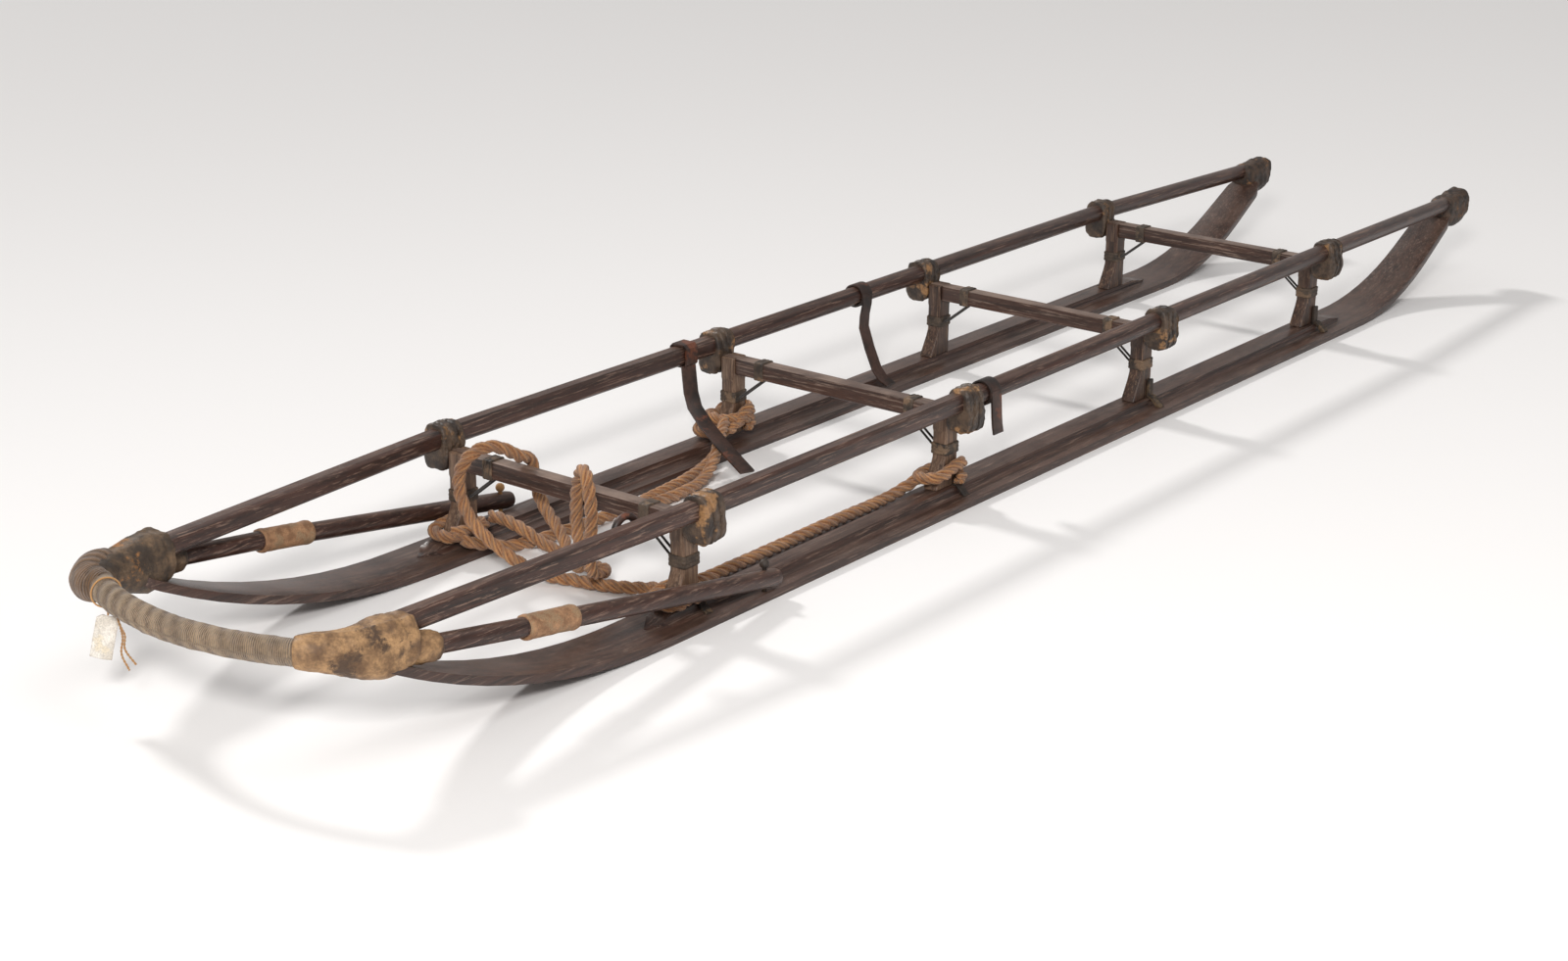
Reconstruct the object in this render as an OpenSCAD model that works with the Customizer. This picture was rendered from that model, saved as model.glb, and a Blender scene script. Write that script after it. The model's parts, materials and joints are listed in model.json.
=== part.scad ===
// Lashed wooden hauling sledge: two ski runners, four pairs of stanchions with
// crossbars, two rails, a bent bow hoop, raking struts, hide lashings and a rope.
// Millimetres. +X is forward (the bow), +Y is the sledge's left, +Z is up.
// The origin is under the middle of the whole length, on the ground.

/* [Frame] */
// Distance between the first and second stanchions
bay_1 = 540; // [440:5:650]
// Distance between the second and third stanchions
bay_2 = 505; // [440:5:650]
// Distance between the third and fourth stanchions
bay_3 = 521; // [440:5:650]
// How far the bow hoop's middle reaches ahead of the first stanchion
bow_reach = 622; // [560:2:760]
// How far the rails run behind the last stanchion
tail_reach = 527; // [440:1:640]
// Distance between the middles of the rails, across
rail_gauge = 418; // [350:2:520]
// Distance between the middles of the stanchions, across
post_gauge = 360; // [300:2:440]
// Distance between the middles of the runners, across
runner_gauge = 370; // [300:2:440]
// Height of the rails' middle above the ground
rail_z = 146; // [120:1:190]

/* [Rails] */
// Width of the squared front part of a rail
rail_w = 22; // [18:1:30]
// Height of the squared front part of a rail
rail_h = 25; // [20:1:32]
// Diameter of the round part of a rail
rail_d = 27; // [22:0.5:32]
// Bevel on the squared part's edges
rail_bevel = 4; // [1:0.5:6]
// Toe-in of the rails ahead of the first stanchion, in degrees
toe_in = 3.2; // [1:0.1:6]
// How far a rail's front end drops over 550 mm
front_drop = 6; // [2:1:12]
// How far a rail's rear end drops
rear_drop = 11; // [4:1:20]
// How far a rail's rear end comes in
rear_toe = 13; // [0:1:25]

/* [Bow hoop] */
// Radius of the hoop's long front curve
hoop_r = 354; // [260:2:460]
// Radius of the hoop's two corners
corner_r = 45; // [35:1:70]
// Diameter of the bent cane
cane_d = 24; // [18:0.5:28]
// Outer diameter of the cord seizing over the cane
seizing_d = 30; // [26:0.5:36]
// Where the diagonal scarf with the rail starts, ahead of the first stanchion
scarf_x = 492; // [470:2:510]
// Length of the scarf
scarf_l = 50; // [30:1:70]

/* [Runners] */
// Width of a runner
runner_w = 82; // [60:1:100]
// Thickness of a runner's flange
flange_t = 11; // [8:0.5:16]
// Height of the runner's rib above the ground
rib_z = 22; // [16:0.5:30]
// Width of the rib's top
rib_w = 26; // [18:1:34]
// Radius of the cove at each side of the rib
cove_r = 10; // [5:0.5:14]
// Radius of the front bend, under the sole
front_r = 920; // [700:5:1200]
// Angle of the front bend
front_a = 29.2; // [22:0.1:34]
// Where the front bend starts, ahead of the first stanchion
front_start = 80; // [40:2:120]
// Radius of the rear bend, under the sole
rear_r = 545; // [450:5:700]
// Angle of the rear bend
rear_a = 27.5; // [20:0.1:32]
// Where the rear bend starts, behind the last stanchion
rear_start = 124; // [80:2:180]
// Length of the straight part after the rear bend
rear_run = 110; // [80:1:130]
// Width of a runner's turned-up tips
tip_w = 60; // [40:1:80]

/* [Stanchions and crossbars] */
// Width of a stanchion across the sledge
post_w = 22; // [16:1:28]
// Length of a stanchion's section along the sledge
post_l = 27; // [20:1:34]
// Length of the forked head that holds the crossbar
head_l = 30; // [24:1:38]
// Height of the forked head
head_h = 30; // [26:1:40]
// How far the foot reaches forward of the shaft
foot_flare = 20; // [8:1:28]
// Height over which the foot flares
foot_h = 40; // [25:1:55]
// Crossbar's thickness along the sledge
bar_l = 22; // [16:1:28]
// Crossbar's height
bar_h = 23; // [18:1:28]
// Thickness of the crossbar's tenon
tenon_l = 14; // [10:0.5:18]
// How far a tenon reaches past the rail's middle
tenon_over = 13; // [8:1:16]

/* [Struts] */
// Diameter of the raking struts
strut_d = 23; // [18:0.5:28]
// Strut's front end: ahead of the first stanchion, out from the middle, up
strut_front = [478, 200.5, 118.9];
// Strut's bend, inside its sleeve
strut_mid = [312, 211.2, 94.2];
// Strut's rear end, on the runner
strut_rear = [-129, 220.9, 23.4];
// Length of the hide sleeve on the strut
sleeve_l = 75; // [40:1:110]
// Wall of the hide sleeves and bands
hide_t = 2.2; // [1.5:0.1:4]
// Bore for the thong that ties a strut to its runner
thong_bore_d = 6.4; // [5:0.1:9]
// Diameter of that thong
thong_d = 5.6; // [4:0.1:8]

/* [Lashings] */
// Length of a rail lashing along the rail
lash_l = 36; // [28:1:50]
// Bottom of a rail lashing above the ground
lash_z0 = 104; // [98:1:108]
// Top of a rail lashing above the ground
lash_z1 = 164; // [161:1:172]
// Outer face of a rail lashing, from the sledge's middle
lash_y1 = 230; // [224:1:240]
// Height of a stanchion's hide band
band_z = 75; // [60:1:90]
// Height of that band's middle, from edge to edge
band_h = 14; // [8:1:20]
// Crossbar bands: distance from the sledge's middle
bar_band_y = 127; // [100:1:150]
// Diameter of the twisted stays
stay_d = 3.2; // [2.5:0.1:5]
// Distance between the two strands of a stay
stay_gap = 9; // [7:0.5:14]
// Clearance round hide and cord pieces
soft_fit = 0.3; // [0.2:0.05:0.5]
// Clearance between wooden members
wood_fit = 0.2; // [0.1:0.05:0.4]

/* [Straps] */
// Width of the leather straps
strap_w = 24; // [16:1:32]
// Thickness of the strap leather
strap_t = 3; // [2:0.5:5]
// Clearance of a strap's loop round the rail
strap_fit = 1.0; // [0.6:0.1:2]

/* [Tag] */
// Where the tag hangs on the hoop: degrees to the right of its middle
tag_at = 20.4; // [8:0.1:21]
// Width of the tag's card
tag_w = 22; // [15:1:40]
// Height of the tag's card
tag_h = 46; // [30:1:70]
// Thickness of the tag's card
tag_t = 0.8; // [0.5:0.1:2]
// Diameter of the tag's twine
twine_d = 2; // [1:0.1:3]

/* [Rope] */
// Diameter of the rope
rope_d = 17; // [12:0.5:22]
// Sides of the rope's tube
rope_sides = 8; // [8:1:12]

/* [Hidden] */
$fn = 48;
// How much slimmer a member is where it runs into the next one, under its lashing
splice = 0.8;
// Clearance of the tag's twine round the seizing
tag_fit = 0.6;

station_x = [0, -bay_1, -bay_1 - bay_2, -bay_1 - bay_2 - bay_3];
rail_y = rail_gauge / 2;
post_y = post_gauge / 2;
runner_y = runner_gauge / 2;
cap_over = 12;
front_x = bow_reach + seizing_d / 2;
tail_x = station_x[3] - tail_reach;
rear_x = tail_x - cap_over;
shift = -(front_x + rear_x) / 2;
drop_a = atan(front_drop / 550);

bar_top = rail_z - rail_d / 2 - wood_fit;
bar_z0 = bar_top - bar_h;
post_in = post_y - post_w / 2;
post_out = post_y + post_w / 2;
head_z0 = bar_top - head_h;
foot_z = rib_z + wood_fit;

// The hoop: centre of the long curve, corner centres and the angle where they meet
hoop_cx = bow_reach - hoop_r;
rail_n = [sin(toe_in), cos(toe_in)];
corner_reach = hoop_r - corner_r;
hoop_half = asin((cos(toe_in) * rail_y - corner_r - sin(toe_in) * hoop_cx) / corner_reach) - toe_in;
corner_c = [hoop_cx + corner_reach * cos(hoop_half), corner_reach * sin(hoop_half)];
hoop_end = corner_c + corner_r * rail_n;
hoop_run = (hoop_end[0] - scarf_x * cos(toe_in)) / cos(toe_in);

hide = [0.55, 0.46, 0.32];
hide_dark = [0.33, 0.26, 0.18];
wood = [0.30, 0.21, 0.16];
wood_red = [0.36, 0.21, 0.14];
wood_grey = [0.36, 0.32, 0.28];

// Puts children in the whole-sledge frame and on one side: 1 is left, -1 is right
module place(side = 1) {
  translate([shift, 0, 0])
    scale([1, side, 1])
      children();
}

// A straight bar from a to b; the 2D child has its -X up and its +Y to the left
module bar(a, b) {
  d = b - a;
  l = norm(d);
  translate(a)
    rotate([0, acos(d[2] / l), atan2(d[1], d[0])])
      linear_extrude(l)
        children();
}

// A round bar from a to b whose end at a is dressed to a blunt point
module turned_bar(a, b, r) {
  d = b - a;
  l = norm(d);
  translate(a)
    rotate([0, acos(d[2] / l), atan2(d[1], d[0])])
      rotate_extrude()
        polygon([[0, 0], [0.55 * r, 0], [0.9 * r, 0.35 * r], [r, r], [r, l], [0, l]]);
}

// A rectangle with bevelled corners, centred
module bevel_rect(h, w, b) {
  polygon([
    [-h / 2, -w / 2 + b], [-h / 2 + b, -w / 2], [h / 2 - b, -w / 2], [h / 2, -w / 2 + b],
    [h / 2, w / 2 - b], [h / 2 - b, w / 2], [-h / 2 + b, w / 2], [-h / 2, w / 2 - b]
  ]);
}

// Stands a 2D shape up: its X goes along the sledge and its Y goes up
module stand(y0, y1) {
  translate([0, y1, 0])
    rotate([90, 0, 0])
      linear_extrude(y1 - y0)
        children();
}

// The front part's own frame: X runs along the toed-in, dropping rail line
module bow_frame() {
  translate([0, 0, rail_z])
    rotate([0, drop_a, 0])
      children();
}

module rail_line_frame() {
  bow_frame()
    translate([0, rail_y, 0])
      rotate([0, 0, -toe_in])
        children();
}

// Squared front part with its scarfed end, grown by g for the lashings' holes
module rail_front(g = 0) {
  half = rail_w / 2 + 5;
  rail_line_frame()
    intersection() {
      translate([-4, 0, 0])
        rotate([0, 90, 0])
          linear_extrude(scarf_x + scarf_l + 20)
            bevel_rect(rail_h - splice + 2 * g, rail_w - splice + 2 * g, rail_bevel);
      translate([0, 0, -30])
        linear_extrude(60)
          polygon([[-20, -half], [scarf_x + scarf_l, -half], [scarf_x, half], [-20, half]]);
    }
}

module rail_shape(g = 0) {
  p1 = [station_x[0] + 3, rail_y, rail_z];
  p2 = [station_x[1], rail_y, rail_z];
  p4 = [station_x[3], rail_y, rail_z];
  p5 = [tail_x, rail_y - rear_toe, rail_z - rear_drop];
  rail_front(g);
  bar(p2, p1)
    bevel_rect(rail_h + 2 * g, rail_w + 2 * g, rail_bevel);
  bar(p4, p2)
    circle(d = rail_d + 2 * g);
  bar(p5, p4 + 4 * unit(p4 - p5))
    circle(d = rail_d - 2 * splice + 2 * g);
}

module rail(side) {
  color(wood)
    place(side)
      rail_shape();
}

// Bent cane: long front curve, two corners and two scarfed ends
module bow_hoop() {
  half = rail_w / 2 + 5;
  color(wood_grey)
    place()
      bow_frame() {
        translate([hoop_cx, 0, 0])
          rotate([0, 0, -hoop_half])
            rotate_extrude(angle = 2 * hoop_half)
              translate([hoop_r, 0])
                circle(d = cane_d);
        for (side = [1, -1])
          scale([1, side, 1]) {
            translate([corner_c[0], corner_c[1], 0])
              rotate([0, 0, hoop_half - 1])
                rotate_extrude(angle = 92 - toe_in - hoop_half)
                  translate([corner_r, 0])
                    circle(d = cane_d + splice);
            intersection() {
              translate([0, rail_y, 0])
                rotate([0, 0, -toe_in])
                  translate([scarf_x - 10, 0, 0])
                    rotate([0, 90, 0])
                      linear_extrude(hoop_run + 10)
                        circle(d = cane_d);
              translate([0, rail_y, 0])
                rotate([0, 0, -toe_in])
                  translate([0, 0, -30])
                    linear_extrude(60)
                      polygon([
                        [scarf_x + scarf_l + 1, -half], [scarf_x + scarf_l + 80, -half],
                        [scarf_x + scarf_l + 80, half], [scarf_x + 1, half]
                      ]);
            }
          }
      }
}

// Cord seizing over the cane's long front curve
module bow_seizing() {
  wrap_half = hoop_half - 3;
  color([0.62, 0.57, 0.47])
    place()
      bow_frame()
        translate([hoop_cx, 0, 0])
          rotate([0, 0, -wrap_half])
            rotate_extrude(angle = 2 * wrap_half)
              translate([hoop_r, 0])
                difference() {
                  circle(d = seizing_d);
                  circle(d = cane_d + 2 * soft_fit);
                }
}

// Section of a runner: X is up from the sole, Y is across
module flange_section() {
  translate([flange_t / 2, 0])
    square([flange_t, runner_w], center = true);
}

module rib_section() {
  base = rib_w / 2 + cove_r;
  difference() {
    translate([0, -base])
      square([rib_z - 1, 2 * base]);
    for (side = [1, -1])
      translate([flange_t + cove_r, side * base])
        circle(r = cove_r);
  }
  translate([0, -rib_w / 2])
    square([rib_z, rib_w]);
}

// Plan of a runner: parallel in the middle and narrower at both rounded tips
module runner_plan(x_front, x_back) {
  round_r = tip_w / 2;
  polygon([
    [front_start, -runner_w / 2], [x_front - round_r, -round_r], [x_front - round_r, round_r],
    [front_start, runner_w / 2], [station_x[3] - rear_start, runner_w / 2],
    [x_back + round_r, round_r], [x_back + round_r, -round_r],
    [station_x[3] - rear_start, -runner_w / 2]
  ]);
  translate([x_front - round_r, 0])
    circle(r = round_r);
  translate([x_back + round_r, 0])
    circle(r = round_r);
}

// A ring segment of runner flange that starts at the ground and bends up by angle a
module runner_bend(r, a) {
  translate([0, 0, r])
    rotate([90, 0, 0])
      rotate([0, 0, -90])
        rotate_extrude(angle = a, $fn = 180)
          translate([r - flange_t, -runner_w / 2])
            square([flange_t, runner_w]);
}

module runner_shape() {
  x_bend = station_x[3] - rear_start;
  x_front = front_start + front_r * sin(front_a);
  x_end = x_bend - rear_r * sin(rear_a);
  z_end = rear_r * (1 - cos(rear_a));
  x_back = x_end - rear_run * cos(rear_a);
  rib_front = front_start;
  rib_back = x_bend + 14;
  intersection() {
    union() {
      translate([x_bend, 0, 0])
        rotate([0, -90, 180])
          linear_extrude(front_start - x_bend)
            flange_section();
      translate([front_start, 0, 0])
        runner_bend(front_r, front_a);
      translate([x_bend, 0, 0])
        mirror([1, 0, 0])
          runner_bend(rear_r, rear_a);
      translate([x_end, 0, z_end])
        rotate([0, rear_a, 0])
          translate([-rear_run, -runner_w / 2, 0])
            cube([rear_run, runner_w, flange_t]);
    }
    linear_extrude(200)
      runner_plan(x_front, x_back);
  }
  intersection() {
    translate([rib_back, 0, 0])
      rotate([0, -90, 180])
        linear_extrude(rib_front - rib_back)
          rib_section();
    stand(-runner_w, runner_w)
      polygon([
        [rib_back, 0], [rib_front, 0], [rib_front, flange_t], [rib_front - 34, rib_z],
        [rib_back + 60, rib_z], [rib_back, flange_t]
      ]);
    linear_extrude(60)
      polygon([
        [rib_back, 0], [rib_back + 55, rib_w], [rib_front - 40, rib_w], [rib_front, 0],
        [rib_front - 40, -rib_w], [rib_back + 55, -rib_w]
      ]);
  }
}

module runner(side) {
  color(wood)
    place(side)
      difference() {
        translate([0, runner_y, 0])
          runner_shape();
        thong_bore();
      }
}

// Shaft of the thong that ties a strut's rear end down, used as a bore too
module thong_shaft(d) {
  translate([strut_rear[0] + 24, strut_rear[1] - 3, -1])
    cylinder(h = strut_rear[2] + strut_d, d = d);
}

module thong_bore() {
  thong_shaft(thong_bore_d);
}

// A stanchion: forked head, shaft and forward-flared foot
module stanchion(i, side) {
  slot_l = tenon_l + 2 * wood_fit;
  color(wood_red)
    place(side)
      translate([station_x[i], 0, 0])
        difference() {
          stand(post_in, post_out)
            polygon([
              [-post_l / 2, foot_z], [post_l / 2 + foot_flare, foot_z],
              [post_l / 2 + foot_flare - 4, foot_z + 8], [post_l / 2 + 4, foot_z + foot_h - 10],
              [post_l / 2, foot_z + foot_h], [post_l / 2, head_z0 - 4], [head_l / 2, head_z0],
              [head_l / 2, bar_top], [-head_l / 2, bar_top], [-head_l / 2, head_z0],
              [-post_l / 2, head_z0 - 4]
            ]);
          translate([-slot_l / 2, post_in - 1, bar_z0 - wood_fit])
            cube([slot_l, post_w + 2, bar_h + 10]);
        }
}

// A crossbar: full section between the stanchions, thinner tenons out under the rails
module crossbar(i) {
  reach = rail_y + tenon_over;
  body = post_in - wood_fit;
  color(wood_red)
    place()
      translate([station_x[i], 0, bar_z0]) {
        translate([-bar_l / 2, -body, 0])
          cube([bar_l, 2 * body, bar_h]);
        translate([-tenon_l / 2, -reach, 0])
          cube([tenon_l, 2 * reach, bar_h]);
      }
}

// A raking strut: two straight reaches that bend inside the sleeve
module strut_shape(g = 0) {
  d = strut_d + 2 * g;
  bar(strut_mid - 4 * unit(strut_front - strut_mid), strut_front)
    circle(d = d - splice);
  turned_bar(strut_rear, strut_mid, d / 2);
}

module strut(side) {
  color(wood)
    place(side)
      difference() {
        strut_shape();
        thong_bore();
      }
}

// A hide sleeve on a straight reach between two points, centred at the share t
module sleeve(a, b, t, l) {
  u = (b - a) / norm(b - a);
  m = a + t * (b - a);
  bar(m - u * l / 2, m + u * l / 2)
    difference() {
      circle(d = strut_d + 2 * soft_fit + 2 * hide_t);
      circle(d = strut_d + 2 * soft_fit);
    }
}

module strut_sleeve(side) {
  color(hide)
    place(side)
      sleeve(strut_mid, strut_rear, 0.095, sleeve_l);
}

module strut_collar(side) {
  color(hide_dark)
    place(side)
      sleeve(strut_mid, strut_front, 0.794, 22);
}

// Thong through the strut's rear end and the runner, with a knot on top
module strut_thong(side) {
  x = strut_rear[0] + 24;
  y = strut_rear[1] - 3;
  top = strut_rear[2] + strut_d / 2 + 7;
  color([0.72, 0.58, 0.32])
    place(side) {
      translate([x, y, 1])
        cylinder(h = top - 1, d = thong_d);
      translate([x, y, top + 4.4])
        sphere(d = 12);
    }
}

// Hide cover over the bow joint: rail end, hoop corner, strut end and runner tip
module bow_cover(side) {
  x0 = 462;
  x1 = 584;
  y0 = 146;
  y1 = 219;
  color([0.50, 0.36, 0.20])
    place(side)
      difference() {
        intersection() {
          linear_extrude(200)
            union() {
              translate([x0, y0 + 8])
                square([x1 - x0 - 30, y1 - y0 - 16]);
              translate([x0 + 12, y0])
                square([x1 - x0 - 56, y1 - y0]);
              for (q = [[x0 + 12, y0 + 12], [x0 + 12, y1 - 12]])
                translate(q)
                  circle(r = 12);
              translate([x1 - 38, y0 + 28])
                circle(r = 30);
              translate([x1 - 50, y1 - 26])
                circle(r = 26);
            }
          stand(y0 - 20, y1 + 20)
            polygon([
              [x0 - 5, 100], [x0 + 10, 92], [x0 + 36, 102], [x0 + 62, 110], [x1 - 24, 117],
              [x1 + 3, 126], [x1 + 6, 142], [x1 - 4, 156], [x1 - 26, 161], [x0 + 30, 160],
              [x0 + 4, 158], [x0 - 5, 150]
            ]);
        }
        rail_line_frame()
          translate([x0 - 30, 0, 0])
            rotate([0, 90, 0])
              linear_extrude(x1 - x0 + 2)
                bevel_rect(rail_h + 2 * soft_fit, rail_w + 4, 2);
        bow_corner(soft_fit);
        strut_shape(soft_fit);
        cover_runner_cut();
      }
}

// The hoop's corner and front curve, grown by g
module bow_corner(g) {
  bow_frame() {
    translate([corner_c[0], corner_c[1], 0])
      rotate([0, 0, hoop_half - 4])
        rotate_extrude(angle = 94 - toe_in - hoop_half)
          translate([corner_r, 0])
            circle(d = cane_d + splice + 2 * g);
    translate([hoop_cx, 0, 0])
      rotate([0, 0, hoop_half - 12])
        rotate_extrude(angle = 12.5)
          translate([hoop_r, 0])
            circle(d = seizing_d + 2 * g);
  }
}

// Room for the runner's tip inside a bow cover
module cover_runner_cut() {
  translate([front_start, runner_y, front_r])
    rotate([90, 0, 0])
      rotate([0, 0, -90])
        rotate_extrude(angle = front_a + 0.6, $fn = 180)
          translate([front_r - flange_t - soft_fit, -runner_w / 2 - soft_fit])
            square([flange_t + 2 * soft_fit, runner_w + 2 * soft_fit]);
}

// Hide lashing that binds a rail to its crossbar's end
module rail_lashing(i, side) {
  y0 = post_out + soft_fit;
  round_r = 11;
  x = station_x[i];
  color(hide)
    place(side)
      difference() {
        translate([x - lash_l / 2, 0, 0])
          rotate([90, 0, 90])
            linear_extrude(lash_l)
              union() {
                translate([y0, lash_z0 + 4])
                  square([lash_y1 - y0 - round_r, lash_z1 - lash_z0 - 4 - round_r]);
                translate([y0 + round_r, lash_z0])
                  square([lash_y1 - y0 - 2 * round_r, lash_z1 - lash_z0]);
                translate([y0 + round_r, lash_z0 + round_r])
                  square([lash_y1 - y0 - round_r, lash_z1 - lash_z0 - 2 * round_r]);
                for (q = [[y0 + round_r, lash_z1 - round_r], [lash_y1 - round_r, lash_z1 - round_r],
                          [lash_y1 - round_r, lash_z0 + round_r]])
                  translate(q)
                    circle(r = round_r);
              }
        rail_shape(soft_fit);
        if (i > 0)
          translate([x, rail_y, rail_z])
            rotate([0, 90, 0])
              cylinder(h = lash_l + 20, d = rail_d + 2 * soft_fit, center = true);
        translate([x - tenon_l / 2 - soft_fit, y0 - 2, bar_z0 - soft_fit])
          cube([tenon_l + 2 * soft_fit, rail_y + tenon_over + soft_fit - y0 + 2, bar_h + 2 * soft_fit + 4]);
      }
}

// Hide cap over a rail's rear end and the runner's turned-up tip below it
module rear_lashing(side) {
  x_tip = station_x[3] - rear_start - rear_r * sin(rear_a) - rear_run * cos(rear_a);
  y = rail_y - rear_toe;
  color(hide)
    place(side)
      difference() {
        intersection() {
          stand(y - 42, y + 26)
            polygon([
              [rear_x, 118], [rear_x + 8, 110], [x_tip - 2, 98], [x_tip + 14, 98], [x_tip + 22, 112],
              [x_tip + 12, 152], [x_tip - 6, 157], [rear_x + 8, 156], [rear_x, 148]
            ]);
          union() {
            translate([rear_x - 2, y - 22, 122])
              cube([90, 44, 40]);
            translate([rear_x - 2, y - 38, 90])
              cube([90, 60, 36]);
          }
        }
        bar([tail_x, y, rail_z - rear_drop], [station_x[3], rail_y, rail_z])
          circle(d = rail_d - 2 * splice + 2 * soft_fit);
        rear_tip_cut();
      }
}

module rear_tip_cut() {
  x_end = station_x[3] - rear_start - rear_r * sin(rear_a);
  z_end = rear_r * (1 - cos(rear_a));
  translate([x_end, runner_y, z_end])
    rotate([0, rear_a, 0])
      translate([-rear_run - soft_fit, -runner_w / 2, -soft_fit])
        cube([rear_run, runner_w, flange_t + 2 * soft_fit]);
}

// Rings of hide round the shafts of all eight stanchions
module stanchion_bands() {
  outer = [post_l + 2 * soft_fit + 2 * hide_t, post_w + 2 * soft_fit + 2 * hide_t];
  color([0.60, 0.55, 0.42])
    for (side = [1, -1])
      place(side)
        for (x = station_x)
          translate([x, post_y, band_z - band_h / 2])
            linear_extrude(band_h)
              difference() {
                bevel_rect(outer[0], outer[1], 2);
                square([post_l + 2 * soft_fit, post_w + 2 * soft_fit], center = true);
              }
}

// Rings of hide round the crossbars, where the stays are made fast
module crossbar_bands() {
  outer = [bar_h + 2 * soft_fit + 2 * hide_t, bar_l + 2 * soft_fit + 2 * hide_t];
  color([0.55, 0.50, 0.38])
    for (side = [1, -1])
      place(side)
        for (x = station_x)
          translate([x, bar_band_y + band_h / 2, bar_z0 + bar_h / 2])
            rotate([90, 0, 0])
              linear_extrude(band_h)
                difference() {
                  bevel_rect(outer[1], outer[0], 2);
                  square([bar_l + 2 * soft_fit, bar_h + 2 * soft_fit], center = true);
                }
}

// Two strands of a stay in each of the eight corners under the crossbars
module stay_wires() {
  wall = soft_fit + hide_t;
  low = [0, post_in - wall - soft_fit - stay_d / 2, band_z];
  high = [0, bar_band_y, bar_z0 - wall - soft_fit - stay_d / 2];
  color([0.13, 0.11, 0.10])
    for (side = [1, -1])
      place(side)
        for (x = station_x, k = [-1, 1])
          translate([x + k * stay_gap / 2, 0, 0])
            bar(low, high)
              circle(d = stay_d);
}

// A hide thong from the runner's flange over its rib to a stanchion's foot
module foot_thongs() {
  gap = 0.4;
  rib_out = runner_y + rib_w / 2 + gap;
  base = runner_y + rib_w / 2 + cove_r;
  color(hide_dark)
    for (side = [1, -1])
      place(side)
        for (i = [0:3]) {
          t = i < 2 ? 1.8 : 4;
          lip = rib_z + gap + t;
          top = i < 2 ? lip : 50;
          translate([station_x[i] - 2, 0, 0])
            rotate([90, 0, 90])
              translate([0, 0, -12])
                linear_extrude(12)
                  polygon([
                    [base, flange_t + gap], [rib_out, rib_z + gap], [post_out + gap, rib_z + gap],
                    [post_out + gap, top], [post_out + gap + t, top],
                    [post_out + gap + t + 0.5, lip], [rib_out + 1.5, lip],
                    [base + 2 + t, flange_t + gap + t - 1], [base + 4 + t, flange_t + gap]
                  ]);
        }
}

// The rope's turns round the feet of the first two pairs of stanchions
module rope_turn(i, side, levels) {
  r = rope_d / 2;
  gap = soft_fit + r;
  x0 = -post_l / 2 - gap;
  x1 = post_l / 2 + foot_flare + gap;
  y0 = post_in - gap;
  y1 = post_out + gap;
  c = r + 0.8;
  color([0.62, 0.45, 0.26])
    place(side)
      for (k = [0:levels - 1])
        translate([station_x[i], 0, rib_z + 3 + r + k * (rope_d + soft_fit)]) {
          for (q = [[x1 - c, y1 - c, 0], [x0 + c, y1 - c, 90], [x0 + c, y0 + c, 180], [x1 - c, y0 + c, 270]])
            translate([q[0], q[1], 0])
              rotate([0, 0, q[2]])
                rotate_extrude(angle = 90)
                  translate([c, 0])
                    circle(r = r);
          for (y = [y0, y1])
            translate([x0 + c, y, 0])
              rotate([0, 90, 0])
                cylinder(r = r, h = x1 - x0 - 2 * c);
          for (x = [x0, x1])
            translate([x, y1 - c, 0])
              rotate([90, 0, 0])
                cylinder(r = r, h = y1 - y0 - 2 * c);
        }
}

// Leather loop round a round rail, or round its squared part
module strap_loop(squared) {
  rotate([0, 90, 0])
    linear_extrude(strap_w, center = true)
      if (squared)
        difference() {
          bevel_rect(rail_h + 2 * strap_fit + 2 * strap_t, rail_w + 2 * strap_fit + 2 * strap_t, 5);
          square([rail_h + 2 * strap_fit, rail_w + 2 * strap_fit], center = true);
        }
      else
        difference() {
          circle(d = rail_d + 2 * strap_fit + 2 * strap_t);
          circle(d = rail_d + 2 * strap_fit);
        }
}

// A strip along a hand-drawn line: X is away from the loop, Y is up
module strap_strip(points, w) {
  n = len(points);
  under = [for (k = [n - 1:-1:0]) points[k] - strip_normal(points, k) * strap_t];
  rotate([90, 0, 0])
    linear_extrude(w, center = true)
      polygon(concat(points, under));
}

// Upward normal of a strip's line at point k
function strip_normal(points, k) =
  let (a = points[max(k - 1, 0)], b = points[min(k + 1, len(points) - 1)], d = b - a)
    [-d[1], d[0]] / norm(d);

module strap(side, x, squared, angle, points) {
  half = (squared ? rail_w : rail_d) / 2 + strap_fit;
  color([0.24, 0.16, 0.12])
    place(side)
      translate([x, rail_y, rail_z]) {
        strap_loop(squared);
        rotate([0, 0, angle])
          strap_strip(points, strap_w - 2);
      }
}

module strap_right_front() {
  strap(-1, -466, true, -70, tail_right_front);
}

module strap_right_rear() {
  strap(-1, -873, false, -90, tail_right_rear);
}

module strap_left_rear() {
  strap(1, -589, false, 90, tail_left_rear);
}

// A leather ring that hangs against the inner side of the left rail
module leather_ring() {
  color([0.18, 0.12, 0.10])
    place()
      rail_line_frame()
        translate([114, -rail_w / 2 - soft_fit - 4.5, -1])
          rotate([90, 0, 0])
            rotate_extrude()
              translate([17, 0])
                circle(d = 9);
}

// Frame on the hoop's middle line where the tag hangs: X outwards, Y along the hoop
module tag_frame() {
  place()
    bow_frame()
      translate([hoop_cx, 0, 0])
        rotate([0, 0, -tag_at])
          translate([hoop_r, 0, 0])
            children();
}

// Height of the twine's loop under the hoop's middle line
tag_drop = seizing_d / 2 + tag_fit + twine_d;

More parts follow.
